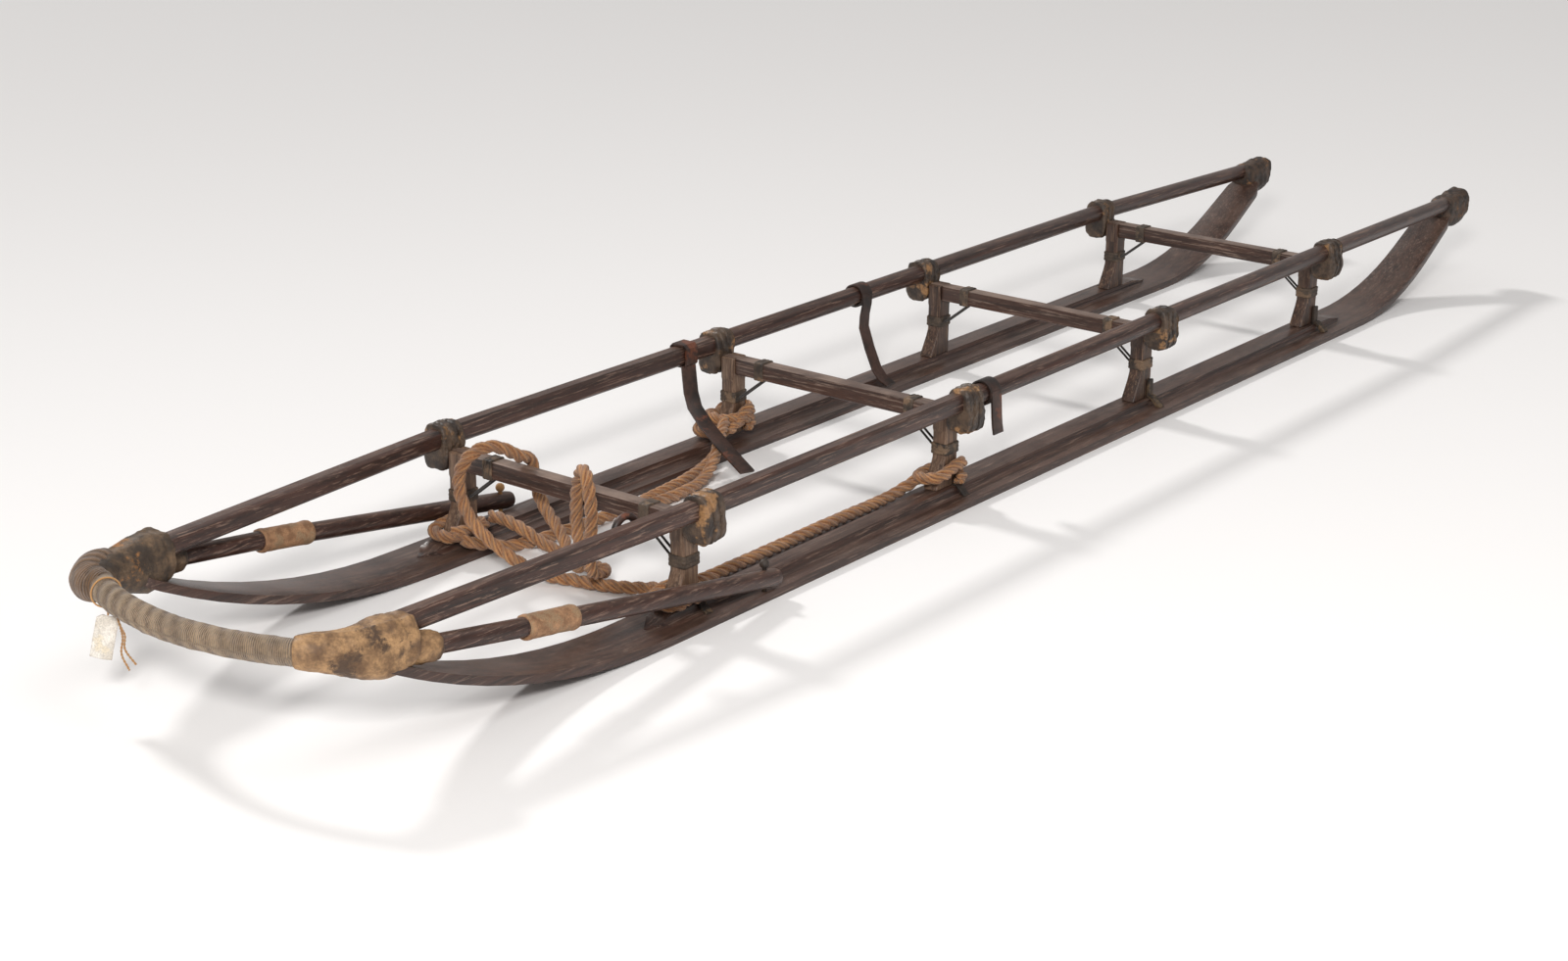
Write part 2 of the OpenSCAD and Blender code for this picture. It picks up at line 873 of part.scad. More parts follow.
// Twine looped round the hoop, with its two ends down to the card
module tag_twine() {
  color([0.66, 0.45, 0.24])
    tag_frame() {
      rotate([90, 0, 0])
        rotate_extrude()
          translate([seizing_d / 2 + tag_fit + twine_d / 2, 0])
            circle(d = twine_d);
      translate([0, 0, -tag_drop - 9])
        cylinder(d = twine_d, h = 9.6);
    }
}

// Blank card tag
module tag_card() {
  color([0.85, 0.82, 0.76])
    tag_frame()
      translate([0, 0, -tag_drop - 9.3])
        rotate([0, 0, 40])
          translate([-tag_t / 2, -tag_w / 2, -tag_h])
            cube([tag_t, tag_w, tag_h]);
}

// Tails of the straps: away from the rail's middle and up
tail_right_front = [
  [14, -13], [17, -30], [21, -50], [31, -68], [60, -84], [100, -99], [140, -112], [170, -121]
];
tail_right_rear = [
  [18, 4], [17.6, -12], [14, -30], [13, -48], [24, -78], [38, -108], [50, -121], [64, -127]
];
tail_left_rear = [[18, 4], [19.5, -14], [20.5, -30], [22, -44], [24, -54]];

// Routes of the rope, in the frame whose X starts at the first stanchions
route_near = [
  [-480, 155, 26], [-448, 152, 21], [-395, 151, 20.2], [-337, 150, 20.2], [-280, 150, 20.2],
  [-218, 151, 20.2], [-160, 151, 20.2], [-100, 151, 20.2], [-66, 152, 21], [-40, 156, 25]
];
route_loop = [
  [-22, 143, 20.5], [-30, 124, 15], [-26, 101, 9.5], [-13, 82, 9.5], [-3, 60, 9.5], [5, 35, 9.5],
  [11, 9, 9.5], [20, -10, 11], [35, -25, 19], [46, -43, 29], [54, -58, 40], [62, -76, 54],
  [68, -94, 71], [71, -107, 90], [72, -115, 112], [70, -116, 135], [64, -108, 154], [52, -98, 165],
  [37, -89, 166], [20, -83, 158], [3, -81, 147], [-8, -82, 143], [-17.5, -84, 139.5],
  [-24.5, -85, 130], [-29, -85, 115], [-31, -82, 92], [-28, -66, 72], [-15, -32, 56],
  [-1, -4, 40], [12, 20, 31], [22, 35, 38], [25, 38, 56], [22, 32, 78], [20, 28, 108],
  [23, 34, 142], [34, 51, 165], [46, 68, 166], [51, 77, 148], [50, 79, 122], [49, 77, 98],
  [46, 72, 76], [40, 66, 54], [28, 60, 37], [10, 53, 29], [-8, 47, 26], [-24, 31, 14],
  [-42, 2, 9.5], [-50, -32, 9.5], [-49, -62, 11], [-44, -88, 18], [-41, -118, 30],
  [-40, -148, 36], [-40, -172, 36]
];
route_far = [
  [14, -142, 20.5], [-4, -137, 17], [-20, -129, 10.5], [-52, -118, 9.5], [-96, -112, 9.5],
  [-159, -108, 9.5], [-218, -106, 9.5], [-293, -112, 9.5], [-355, -119, 9.5], [-410, -129, 12],
  [-448, -136, 21], [-480, -154, 25]
];
route_tail = [
  [-480, -150, 50], [-452, -134, 42], [-412, -112, 24], [-370, -98, 11], [-322, -91, 9.5],
  [-262, -92, 9.5]
];

// Catmull-Rom point between p1 and p2 at t
function curve_point(p0, p1, p2, p3, t) =
  0.5 * (2 * p1 + (p2 - p0) * t + (2 * p0 - 5 * p1 + 4 * p2 - p3) * t * t
  + (3 * p1 - p0 - 3 * p2 + p3) * t * t * t);

// The points of a route, with extra rings where wanted
function curve(points, steps) =
  let (n = len(points))
    [for (k = [0:n - 2], s = [0:steps - 1])
      curve_point(points[max(k - 1, 0)], points[k], points[k + 1], points[min(k + 2, n - 1)], s / steps),
     points[n - 1]];

function unit(v) = v / norm(v);

// A side direction carried from ring to ring so that the tube doesn't twist
function carried(tangents, k) =
  k == 0
    ? unit(cross(tangents[0], [0.05, 0.03, 1]))
    : let (s = carried(tangents, k - 1)) unit(s - (s * tangents[k]) * tangents[k]);

// A closed tube along a route
module rope_tube(points, steps) {
  line = curve(points, steps);
  n = len(line);
  tangents = [for (k = [0:n - 1]) unit(line[min(k + 1, n - 1)] - line[max(k - 1, 0)])];
  rings = [for (k = [0:n - 1])
    let (s = carried(tangents, k), u = cross(tangents[k], s))
      for (j = [0:rope_sides - 1])
        line[k] + rope_d / 2 * (s * cos(360 * j / rope_sides) + u * sin(360 * j / rope_sides))];
  sides = [for (k = [0:n - 2], j = [0:rope_sides - 1])
    let (a = k * rope_sides + j, b = k * rope_sides + (j + 1) % rope_sides)
      [a, a + rope_sides, b + rope_sides, b]];
  ends = [[for (j = [0:rope_sides - 1]) j], [for (j = [rope_sides - 1:-1:0]) (n - 1) * rope_sides + j]];
  color([0.64, 0.47, 0.28])
    place()
      polyhedron(rings, concat(sides, ends));
}

runner(1);  // runner_left
runner(-1);  // runner_right
rail(1);  // rail_left
rail(-1);  // rail_right
bow_hoop();
bow_seizing();
bow_cover(1);  // bow_cover_left
bow_cover(-1);  // bow_cover_right
strut(1);  // strut_left
strut(-1);  // strut_right
strut_sleeve(1);  // strut_sleeve_left
strut_sleeve(-1);  // strut_sleeve_right
strut_collar(1);  // strut_collar_left
strut_collar(-1);  // strut_collar_right
strut_thong(1);  // strut_thong_left
strut_thong(-1);  // strut_thong_right
stanchion(0, 1);  // stanchion_1_left
stanchion(1, 1);  // stanchion_2_left
stanchion(2, 1);  // stanchion_3_left
stanchion(3, 1);  // stanchion_4_left
stanchion(0, -1);  // stanchion_1_right
stanchion(1, -1);  // stanchion_2_right
stanchion(2, -1);  // stanchion_3_right
stanchion(3, -1);  // stanchion_4_right
crossbar(0);  // crossbar_1
crossbar(1);  // crossbar_2
crossbar(2);  // crossbar_3
crossbar(3);  // crossbar_4
rail_lashing(0, 1);  // rail_lashing_1_left
rail_lashing(1, 1);  // rail_lashing_2_left
rail_lashing(2, 1);  // rail_lashing_3_left
rail_lashing(3, 1);  // rail_lashing_4_left
rail_lashing(0, -1);  // rail_lashing_1_right
rail_lashing(1, -1);  // rail_lashing_2_right
rail_lashing(2, -1);  // rail_lashing_3_right
rail_lashing(3, -1);  // rail_lashing_4_right
rear_lashing(1);  // rear_lashing_left
rear_lashing(-1);  // rear_lashing_right
stanchion_bands();
crossbar_bands();
stay_wires();
foot_thongs();
rope_turn(0, 1, 1);  // rope_turn_1_left
rope_turn(1, 1, 2);  // rope_turn_2_left
rope_turn(0, -1, 1);  // rope_turn_1_right
rope_turn(1, -1, 2);  // rope_turn_2_right
rope_tube(route_near, 1);  // rope_near
rope_tube(route_loop, 1);  // rope_loop
rope_tube(route_far, 1);  // rope_far
rope_tube(route_tail, 1);  // rope_tail
strap_right_front();
strap_right_rear();
strap_left_rear();
leather_ring();
tag_card();
tag_twine();
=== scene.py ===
"""Lashed wooden hauling sledge: looks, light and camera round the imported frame.

Everything is in metres in the frame's own axes: +X forward to the bow hoop,
+Y to the sledge's left, +Z up, with the ground at Z = 0.
"""

import json
import logging
import math
from dataclasses import dataclass, field
from enum import Enum
from typing import Callable, Sequence

import bmesh
import bpy
import numpy as np
from mathutils import Matrix, Vector

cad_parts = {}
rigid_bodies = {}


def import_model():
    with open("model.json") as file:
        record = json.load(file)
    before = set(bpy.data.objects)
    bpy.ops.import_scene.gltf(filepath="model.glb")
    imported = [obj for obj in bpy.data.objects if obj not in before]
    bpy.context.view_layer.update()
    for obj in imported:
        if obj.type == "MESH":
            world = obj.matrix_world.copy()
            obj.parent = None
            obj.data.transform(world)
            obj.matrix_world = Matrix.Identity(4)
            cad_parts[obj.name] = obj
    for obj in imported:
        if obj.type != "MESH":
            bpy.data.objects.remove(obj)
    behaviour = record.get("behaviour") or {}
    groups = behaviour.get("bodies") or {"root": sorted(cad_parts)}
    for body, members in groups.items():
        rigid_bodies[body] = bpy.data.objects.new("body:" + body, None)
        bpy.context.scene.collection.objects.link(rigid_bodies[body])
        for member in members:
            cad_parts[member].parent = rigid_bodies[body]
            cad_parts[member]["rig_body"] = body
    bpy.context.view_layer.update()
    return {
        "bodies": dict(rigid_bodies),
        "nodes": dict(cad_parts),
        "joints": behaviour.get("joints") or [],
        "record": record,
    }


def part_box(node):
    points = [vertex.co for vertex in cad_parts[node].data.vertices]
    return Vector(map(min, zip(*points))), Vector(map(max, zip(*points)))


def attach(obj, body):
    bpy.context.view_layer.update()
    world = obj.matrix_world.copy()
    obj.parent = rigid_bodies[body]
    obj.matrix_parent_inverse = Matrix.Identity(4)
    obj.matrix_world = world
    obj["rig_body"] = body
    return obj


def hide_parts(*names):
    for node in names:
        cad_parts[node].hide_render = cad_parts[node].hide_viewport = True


log = logging.getLogger("sledge")

Array = np.ndarray
Colour = tuple[float, float, float]
Point = tuple[float, float, float]

MM = 0.001
# The frame's own X of the first stanchions; route points are given from there
STATION_1_X = 0.734
BAYS = (0.540, 0.505, 0.521)
POST_Y = 0.180


class Side(Enum):
    """The two sides of the sledge and the sign of Y on each."""

    LEFT = 1
    RIGHT = -1

    @property
    def word(self) -> str:
        """Name of the side as it ends a node's name."""
        return self.name.lower()


class Grain(Enum):
    """Which way the wood's grain runs, as a stretch of the object's axes."""

    ALONG = (1.6, 40.0, 40.0)
    ACROSS = (40.0, 1.6, 40.0)
    UPRIGHT = (40.0, 40.0, 2.5)


def station_x(index: int) -> float:
    """X of a pair of stanchions, counted from 0 at the bow."""
    return STATION_1_X - sum(BAYS[:index])


# ---------------------------------------------------------------- surfaces


def lattice_noise(points: Array, size: float, seed: int = 0) -> Array:
    """Smooth value noise: random numbers on a cubic lattice, blended by a cubic ease.

    Args:
        points: Positions, shape (..., 3), in metres.
        size: Lattice spacing in metres.
        seed: Picks another pattern.

    Returns:
        Values from -1 to 1, one per position.
    """
    scaled = np.asarray(points, dtype=np.float64) / size + 1000.0 + seed * 17.31
    base = np.floor(scaled).astype(np.int64)
    part = scaled - base
    ease = part * part * (3.0 - 2.0 * part)
    total = np.zeros(scaled.shape[:-1])
    for corner in range(8):
        step = np.array([(corner >> axis) & 1 for axis in range(3)])
        cell = base + step
        mixed = cell[..., 0] * 73856093 ^ cell[..., 1] * 19349663 ^ cell[..., 2] * 83492791 ^ seed * 2654435
        mixed = (mixed ^ (mixed >> 13)) * 1274126177 & 0x7FFFFFFF
        value = ((mixed ^ (mixed >> 16)) & 0xFFFF) / 32767.5 - 1.0
        weight = np.prod(np.where(step == 1, ease, 1.0 - ease), axis=-1)
        total += value * weight
    return total


def rough(points: Array, size: float, seed: int = 0, octaves: int = 3) -> Array:
    """Sum of lattice noises, each half the size and a little over half the height of the last."""
    total = np.zeros(points.shape[:-1])
    for octave in range(octaves):
        total += lattice_noise(points, size / 2**octave, seed + octave * 7) * 0.55**octave
    return total


def unit_rows(vectors: Array) -> Array:
    """Each row divided by its own length."""
    return vectors / np.maximum(np.linalg.norm(vectors, axis=-1, keepdims=True), 1e-12)


def smooth_path(points: Sequence[Point], step: float) -> Array:
    """Catmull-Rom curve through the points, then even steps along its length.

    Args:
        points: The points that the path goes through.
        step: Distance between the returned points.

    Returns:
        Points along the path, shape (n, 3).
    """
    knots = np.asarray(points, dtype=np.float64)
    padded = np.vstack([2 * knots[0] - knots[1], knots, 2 * knots[-1] - knots[-2]])
    p0, p1, p2, p3 = (padded[k : k + len(knots) - 1, None, :] for k in range(4))
    t = np.linspace(0, 1, 24, endpoint=False)[None, :, None]
    curve = 0.5 * (
        2 * p1
        + (p2 - p0) * t
        + (2 * p0 - 5 * p1 + 4 * p2 - p3) * t**2
        + (3 * p1 - p0 - 3 * p2 + p3) * t**3
    )
    dense = np.vstack([curve.reshape(-1, 3), knots[-1:]])
    along = np.concatenate([[0.0], np.cumsum(np.linalg.norm(np.diff(dense, axis=0), axis=1))])
    count = max(3, int(round(along[-1] / step)) + 1)
    even = np.linspace(0, along[-1], count)
    return np.stack([np.interp(even, along, dense[:, axis]) for axis in range(3)], axis=1)


def carried_frames(path: Array, first: Point = (0.05, 0.03, 1.0)) -> tuple[Array, Array, Array]:
    """Tangent and two side directions at each point, carried along without twist."""
    tangents = unit_rows(np.gradient(path, axis=0))
    sides = np.empty_like(tangents)
    side = np.cross(tangents[0], np.asarray(first))
    for k, tangent in enumerate(tangents):
        side = side - tangent * (side @ tangent)
        side = side / np.linalg.norm(side)
        sides[k] = side
    return tangents, sides, np.cross(tangents, sides)


def mesh_piece(name: str, vertices: Array, faces: list, uvs: Array | None = None) -> bpy.types.Object:
    """A new mesh object from arrays.

    Args:
        name: Piece name.
        vertices: Positions, shape (n, 3).
        faces: Vertex numbers of each face.
        uvs: One UV pair per vertex, or None.

    Returns:
        The object, linked to the scene, with smooth faces.
    """
    mesh = bpy.data.meshes.new(name)
    mesh.from_pydata(vertices.tolist(), [], faces)
    mesh.polygons.foreach_set("use_smooth", np.ones(len(mesh.polygons), dtype=bool))
    if uvs is not None:
        corners = np.empty(len(mesh.loops), dtype=np.int64)
        mesh.loops.foreach_get("vertex_index", corners)
        mesh.uv_layers.new(name="UVMap").data.foreach_set("uv", uvs[corners].astype(np.float32).ravel())
    mesh.update()
    piece = bpy.data.objects.new(name, mesh)
    bpy.context.scene.collection.objects.link(piece)
    return piece


def tube_faces(rings: int, sides: int, start: int = 0) -> list:
    """Quads between successive closed rings, and one flat face over each end."""
    ring = np.arange(rings - 1)[:, None] * sides
    side = np.arange(sides)[None, :]
    follow = (side + 1) % sides
    quads = np.stack([ring + side, ring + follow, ring + sides + follow, ring + sides + side], axis=-1)
    faces = (quads.reshape(-1, 4) + start).tolist()
    faces.append((np.arange(sides)[::-1] + start).tolist())
    faces.append((np.arange(sides) + (rings - 1) * sides + start).tolist())
    return faces


def ring_surface(name: str, rings: Array, uv_size: tuple[float, float] = (1.0, 1.0)) -> bpy.types.Object:
    """Closed tube through rings of points, shape (rings, sides, 3), ordered to face outwards.

    The UV runs along the tube by length and round it from 0 to uv_size[1].
    """
    count, sides = rings.shape[:2]
    middle = rings.mean(axis=1)
    along = np.concatenate([[0.0], np.cumsum(np.linalg.norm(np.diff(middle, axis=0), axis=1))])
    u = np.repeat(along[:, None] * uv_size[0], sides, axis=1)
    v = np.repeat(np.linspace(0, uv_size[1], sides, endpoint=False)[None, :], count, axis=0)
    piece = mesh_piece(
        name, rings.reshape(-1, 3), tube_faces(count, sides), np.stack([u, v], -1).reshape(-1, 2)
    )
    face_outwards(piece)
    return piece


def face_outwards(piece: bpy.types.Object) -> None:
    """Recalculates the normals of a closed mesh so that they point outwards."""
    work = bmesh.new()
    work.from_mesh(piece.data)
    bmesh.ops.recalc_face_normals(work, faces=work.faces)
    work.to_mesh(piece.data)
    work.free()
    piece.data.update()


def joined(parts: list[bpy.types.Object], name: str) -> bpy.types.Object:
    """One mesh piece made of several, which are removed."""
    work = bmesh.new()
    for part in parts:
        work.from_mesh(part.data)
        bpy.data.objects.remove(part)
    mesh = bpy.data.meshes.new(name)
    work.to_mesh(mesh)
    work.free()
    piece = bpy.data.objects.new(name, mesh)
    bpy.context.scene.collection.objects.link(piece)
    return piece


def superellipse(angle: Array, half_a: float | Array, half_b: float | Array, power: float | Array) -> Array:
    """Distance from the middle to a rounded rectangle's edge: (|c/a|^n + |s/b|^n)^(-1/n)."""
    return (
        np.abs(np.cos(angle) / half_a) ** power + np.abs(np.sin(angle) / half_b) ** power
    ) ** (-1.0 / power)


def wrapped_form(
    name: str,
    path: Array,
    first: Array,
    second: Array,
    radius: Callable[[Array, Array], Array],
    sides: int = 96,
    end_round: float = 0.2,
    end_share: float = 0.55,
    crumple: tuple[float, float] = (0.0, 0.01),
    seed: int = 0,
) -> bpy.types.Object:
    """A closed wrapping: an outline carried along a path, drawn in at both ends, then crumpled.

    Args:
        name: Piece name.
        path: Middle line, shape (n, 3).
        first: Direction of angle 0, shape (n, 3) or (3,).
        second: Direction of angle 90 degrees, same shape.
        radius: Gives the outline's distance from the middle for arrays of share along and angle.
        sides: Points round each ring.
        end_round: Share of the length over which each end draws in.
        end_share: Size of the end ring against the full outline.
        crumple: Height and size of the creases, in metres.
        seed: Picks another pattern of creases.

    Returns:
        The piece.
    """
    count = len(path)
    share = np.linspace(0, 1, count)[:, None]
    angle = np.linspace(0, 2 * np.pi, sides, endpoint=False)[None, :]
    reach = radius(share + 0 * angle, angle + 0 * share)
    from_end = np.clip(np.minimum(share, 1 - share) / end_round, 0, 1)
    drawn = end_share + (1 - end_share) * np.sqrt(np.clip(1 - (1 - from_end) ** 2, 0, 1))
    first = np.broadcast_to(first, path.shape)[:, None, :]
    second = np.broadcast_to(second, path.shape)[:, None, :]
    out = np.cos(angle)[..., None] * first + np.sin(angle)[..., None] * second
    points = path[:, None, :] + out * (reach * drawn)[..., None]
    height, size = crumple
    ridged = 1.0 - 2.0 * np.abs(lattice_noise(points, size * 1.7, seed + 3))
    creases = 0.55 * rough(points, size, seed) + 0.45 * ridged
    points = points + out * (height * creases * np.clip(from_end * 2, 0.15, 1))[..., None]
    return ring_surface(name, points, (1.0, 1.0))


# ---------------------------------------------------------------- materials


class Nodes:
    """Adds and joins shader nodes in one tree."""

    def __init__(self, tree: bpy.types.NodeTree) -> None:
        """Keeps the tree."""
        self.tree = tree

    def add(self, kind: str, **values: object) -> bpy.types.Node:
        """A new node with its settings and input values, named by key."""
        made = self.tree.nodes.new(kind)
        for key, value in values.items():
            if hasattr(made, key):
                setattr(made, key, value)
            else:
                made.inputs[key.replace("_", " ")].default_value = value
        return made

    def join(self, source: bpy.types.NodeSocket, target: bpy.types.NodeSocket) -> None:
        """Links an output to an input."""
        self.tree.links.new(source, target)

    def noise(
        self, vector: bpy.types.NodeSocket, scale: float, detail: float = 4.0, rough_: float = 0.55
    ) -> bpy.types.NodeSocket:
        """Value of a noise texture."""
        made = self.add("ShaderNodeTexNoise")
        made.inputs["Scale"].default_value = scale
        made.inputs["Detail"].default_value = detail
        made.inputs["Roughness"].default_value = rough_
        self.join(vector, made.inputs["Vector"])
        return made.outputs["Fac"]

    def ramp(self, value: bpy.types.NodeSocket, low: float, high: float) -> bpy.types.NodeSocket:
        """Spreads low..high of a value over 0..1, smoothly."""
        made = self.add("ShaderNodeMapRange", interpolation_type="SMOOTHSTEP")
        made.inputs["From Min"].default_value = low
        made.inputs["From Max"].default_value = high
        self.join(value, made.inputs["Value"])
        return made.outputs["Result"]

    def math(
        self, how: str, first: bpy.types.NodeSocket, second: bpy.types.NodeSocket | float
    ) -> bpy.types.NodeSocket:
        """A math node of two values."""
        made = self.add("ShaderNodeMath", operation=how)
        self.join(first, made.inputs[0])
        if isinstance(second, (int, float)):
            made.inputs[1].default_value = second
        else:
            self.join(second, made.inputs[1])
        return made.outputs[0]

    def mix(
        self, share: bpy.types.NodeSocket, first: object, second: object, how: str = "MIX"
    ) -> bpy.types.NodeSocket:
        """Mixes two colours, each a socket or a plain colour."""
        made = self.add("ShaderNodeMix", data_type="RGBA", blend_type=how)
        self.join(share, made.inputs[0])
        for place, colour in ((6, first), (7, second)):
            if isinstance(colour, tuple):
                made.inputs[place].default_value = (*colour, 1.0)
            else:
                self.join(colour, made.inputs[place])
        return made.outputs[2]


def linear(red: int, green: int, blue: int) -> Colour:
    """A screen colour of 0 to 255 as linear light."""
    return tuple(
        (c / 255) / 12.92 if c / 255 <= 0.04045 else ((c / 255 + 0.055) / 1.055) ** 2.4
        for c in (red, green, blue)
    )


def new_group(
    name: str, inputs: dict[str, tuple[str, object]], outputs: dict[str, str]
) -> tuple[Nodes, bpy.types.Node, bpy.types.Node]:
    """An empty node group with its sockets.

    Args:
        name: Group name.
        inputs: Socket name to (kind, default).
        outputs: Socket name to kind.

    Returns:
        The group's nodes, its input node and its output node.
    """
    tree = bpy.data.node_groups.new(name, "ShaderNodeTree")
    for key, (kind, value) in inputs.items():
        made = tree.interface.new_socket(name=key, in_out="INPUT", socket_type=kind)
        if value is not None:
            made.default_value = value
    for key, kind in outputs.items():
        tree.interface.new_socket(name=key, in_out="OUTPUT", socket_type=kind)
    work = Nodes(tree)
    return work, work.add("NodeGroupInput"), work.add("NodeGroupOutput")


def grain_group() -> bpy.types.NodeTree:
    """Long wood grain, pores and scuffs from a stretched position."""
    number = "NodeSocketFloat"
    work, source, result = new_group(
        "long_grain",
        {"Vector": ("NodeSocketVector", None), "Fine": (number, 60.0), "Scuff": (number, 0.5)},
        {"Grain": number, "Pores": number, "Scuffs": number, "Height": number},
    )
    place = source.outputs["Vector"]
    broad = work.noise(place, 3.2, 5.0, 0.6)
    fine = work.add("ShaderNodeTexNoise")
    work.join(place, fine.inputs["Vector"])
    work.join(source.outputs["Fine"], fine.inputs["Scale"])
    fine.inputs["Detail"].default_value = 6.0
    fine.inputs["Roughness"].default_value = 0.7
    grain = work.math(
        "ADD", work.math("MULTIPLY", broad, 0.6), work.math("MULTIPLY", fine.outputs["Fac"], 0.4)
    )
    pores = work.ramp(fine.outputs["Fac"], 0.56, 0.7)
    patches = work.noise(place, 9.0, 8.0, 0.72)
    edge = work.math("ADD", patches, work.math("MULTIPLY", source.outputs["Scuff"], 0.2))
    scuffs = work.ramp(edge, 0.56, 0.64)
    height = work.math("SUBTRACT", work.math("MULTIPLY", grain, 0.8), work.math("MULTIPLY", pores, 0.6))
    work.join(work.ramp(grain, 0.36, 0.64), result.inputs["Grain"])
    work.join(pores, result.inputs["Pores"])
    work.join(scuffs, result.inputs["Scuffs"])
    work.join(height, result.inputs["Height"])
    return work.tree


def mottle_group() -> bpy.types.NodeTree:
    """Blotches of two sizes and fine speckle, for hide, leather, and the dust and painted sheen on wooden top
    faces.
    """
    number = "NodeSocketFloat"
    work, source, result = new_group(
        "hide_mottle",
        {"Vector": ("NodeSocketVector", None), "Size": (number, 40.0), "Worn": (number, 0.5)},
        {"Blotch": number, "Worn": number, "Speckle": number, "Height": number},
    )
    place = source.outputs["Vector"]

    def layer(times: float, detail: float, roughness: float) -> bpy.types.NodeSocket:
        """Noise at a multiple of the group's own size."""
        made = work.add("ShaderNodeTexNoise")
        work.join(place, made.inputs["Vector"])
        work.join(work.math("MULTIPLY", source.outputs["Size"], times), made.inputs["Scale"])
        made.inputs["Detail"].default_value = detail
        made.inputs["Roughness"].default_value = roughness
        return made.outputs["Fac"]

    blotch = layer(1.0, 5.0, 0.62)
    worn = layer(0.55, 6.0, 0.7)
    speckle = layer(9.0, 3.0, 0.6)
    edge = work.math("ADD", worn, work.math("MULTIPLY", source.outputs["Worn"], 0.3))
    work.join(work.ramp(blotch, 0.36, 0.64), result.inputs["Blotch"])
    work.join(work.ramp(edge, 0.58, 0.66), result.inputs["Worn"])
    work.join(work.ramp(speckle, 0.35, 0.7), result.inputs["Speckle"])
    height = work.math("ADD", work.math("MULTIPLY", worn, 0.7), work.math("MULTIPLY", speckle, 0.25))
    work.join(height, result.inputs["Height"])
    return work.tree


def lay_group() -> bpy.types.NodeTree:
    """Slanted yarns over a rope strand: stripes that run round and along its UV map."""
    number = "NodeSocketFloat"
    work, source, result = new_group(
        "yarn_lay",
        {"UV": ("NodeSocketVector", None), "Yarns": (number, 7.0), "Slant": (number, 60.0)},
        {"Stripe": number, "Fuzz": number},
    )
    parts = work.add("ShaderNodeSeparateXYZ")
    work.join(source.outputs["UV"], parts.inputs[0])
    across = work.math("MULTIPLY", parts.outputs["Y"], source.outputs["Yarns"])
    along = work.math("MULTIPLY", parts.outputs["X"], source.outputs["Slant"])
    turn = work.math("MULTIPLY", work.math("ADD", across, along), 2 * math.pi)
    wave = work.add("ShaderNodeMath", operation="SINE")
    work.join(turn, wave.inputs[0])
    stretched = work.add("ShaderNodeMapping")
    stretched.inputs["Scale"].default_value = (260.0, 9.0, 1.0)
    work.join(source.outputs["UV"], stretched.inputs["Vector"])
    fuzz = work.noise(stretched.outputs["Vector"], 1.6, 6.0, 0.75)
    work.join(work.ramp(wave.outputs[0], -1.0, 1.0), result.inputs["Stripe"])
    work.join(work.ramp(fuzz, 0.3, 0.72), result.inputs["Fuzz"])
    return work.tree


@dataclass
class Groups:
    """The node groups that several finishes share."""

    grain: bpy.types.NodeTree = field(default_factory=grain_group)
    mottle: bpy.types.NodeTree = field(default_factory=mottle_group)
    lay: bpy.types.NodeTree = field(default_factory=lay_group)


class Finish:
    """A material with a Principled shader, to be dressed by a subclass."""

    def __init__(self, name: str, roughness: float, bump: float, depth: float) -> None:
        """Starts the material.

        Args:
            name: Material name.
            roughness: Roughness where nothing changes it.
            bump: Strength of the relief.
            depth: Height of the relief in metres.
        """
        self.material = bpy.data.materials.new(name)
        self.material.use_nodes = True
        self.material.node_tree.nodes.clear()
        self.work = Nodes(self.material.node_tree)
        self.shader = self.work.add("ShaderNodeBsdfPrincipled")
        self.shader.inputs["Roughness"].default_value = roughness
        out = self.work.add("ShaderNodeOutputMaterial")
        self.work.join(self.shader.outputs[0], out.inputs[0])
        self.relief = self.work.add("ShaderNodeBump")
        self.relief.inputs["Strength"].default_value = bump
        self.relief.inputs["Distance"].default_value = depth
        self.work.join(self.relief.outputs[0], self.shader.inputs["Normal"])
        self.place = self.work.add("ShaderNodeTexCoord")

    def stretched(self, scale: Point) -> bpy.types.NodeSocket:
        """The object's own position, stretched."""
        made = self.work.add("ShaderNodeMapping")
        made.inputs["Scale"].default_value = scale
        self.work.join(self.place.outputs["Object"], made.inputs["Vector"])
        return made.outputs["Vector"]

    def group(self, tree: bpy.types.NodeTree, **values: float) -> bpy.types.Node:
        """Places a shared group with its own values."""
        made = self.work.add("ShaderNodeGroup")
        made.node_tree = tree
        for key, value in values.items():
            made.inputs[key].default_value = value
        return made

    def paint(
        self, colour: bpy.types.NodeSocket, height: bpy.types.NodeSocket,
        roughness: bpy.types.NodeSocket | None = None
    ) -> None:
        """Feeds the shader's colour, relief and roughness."""
        self.work.join(colour, self.shader.inputs["Base Color"])
        self.work.join(height, self.relief.inputs["Height"])
        if roughness is not None:
            self.work.join(roughness, self.shader.inputs["Roughness"])


@dataclass(frozen=True)
class WoodLook:
    """Colours and wear of one kind of varnished wood."""

    name: str
    dark: Colour
    light: Colour
    # bare: scuffed bare wood; the same colour is also painted on top faces as a painted sheen
    bare: Colour
    scuff: float
    grain: Grain
    gloss: float = 0.42
    # how far top faces are paled towards the bare colour: real dust plus an even painted sheen
    dust: float = 0.25


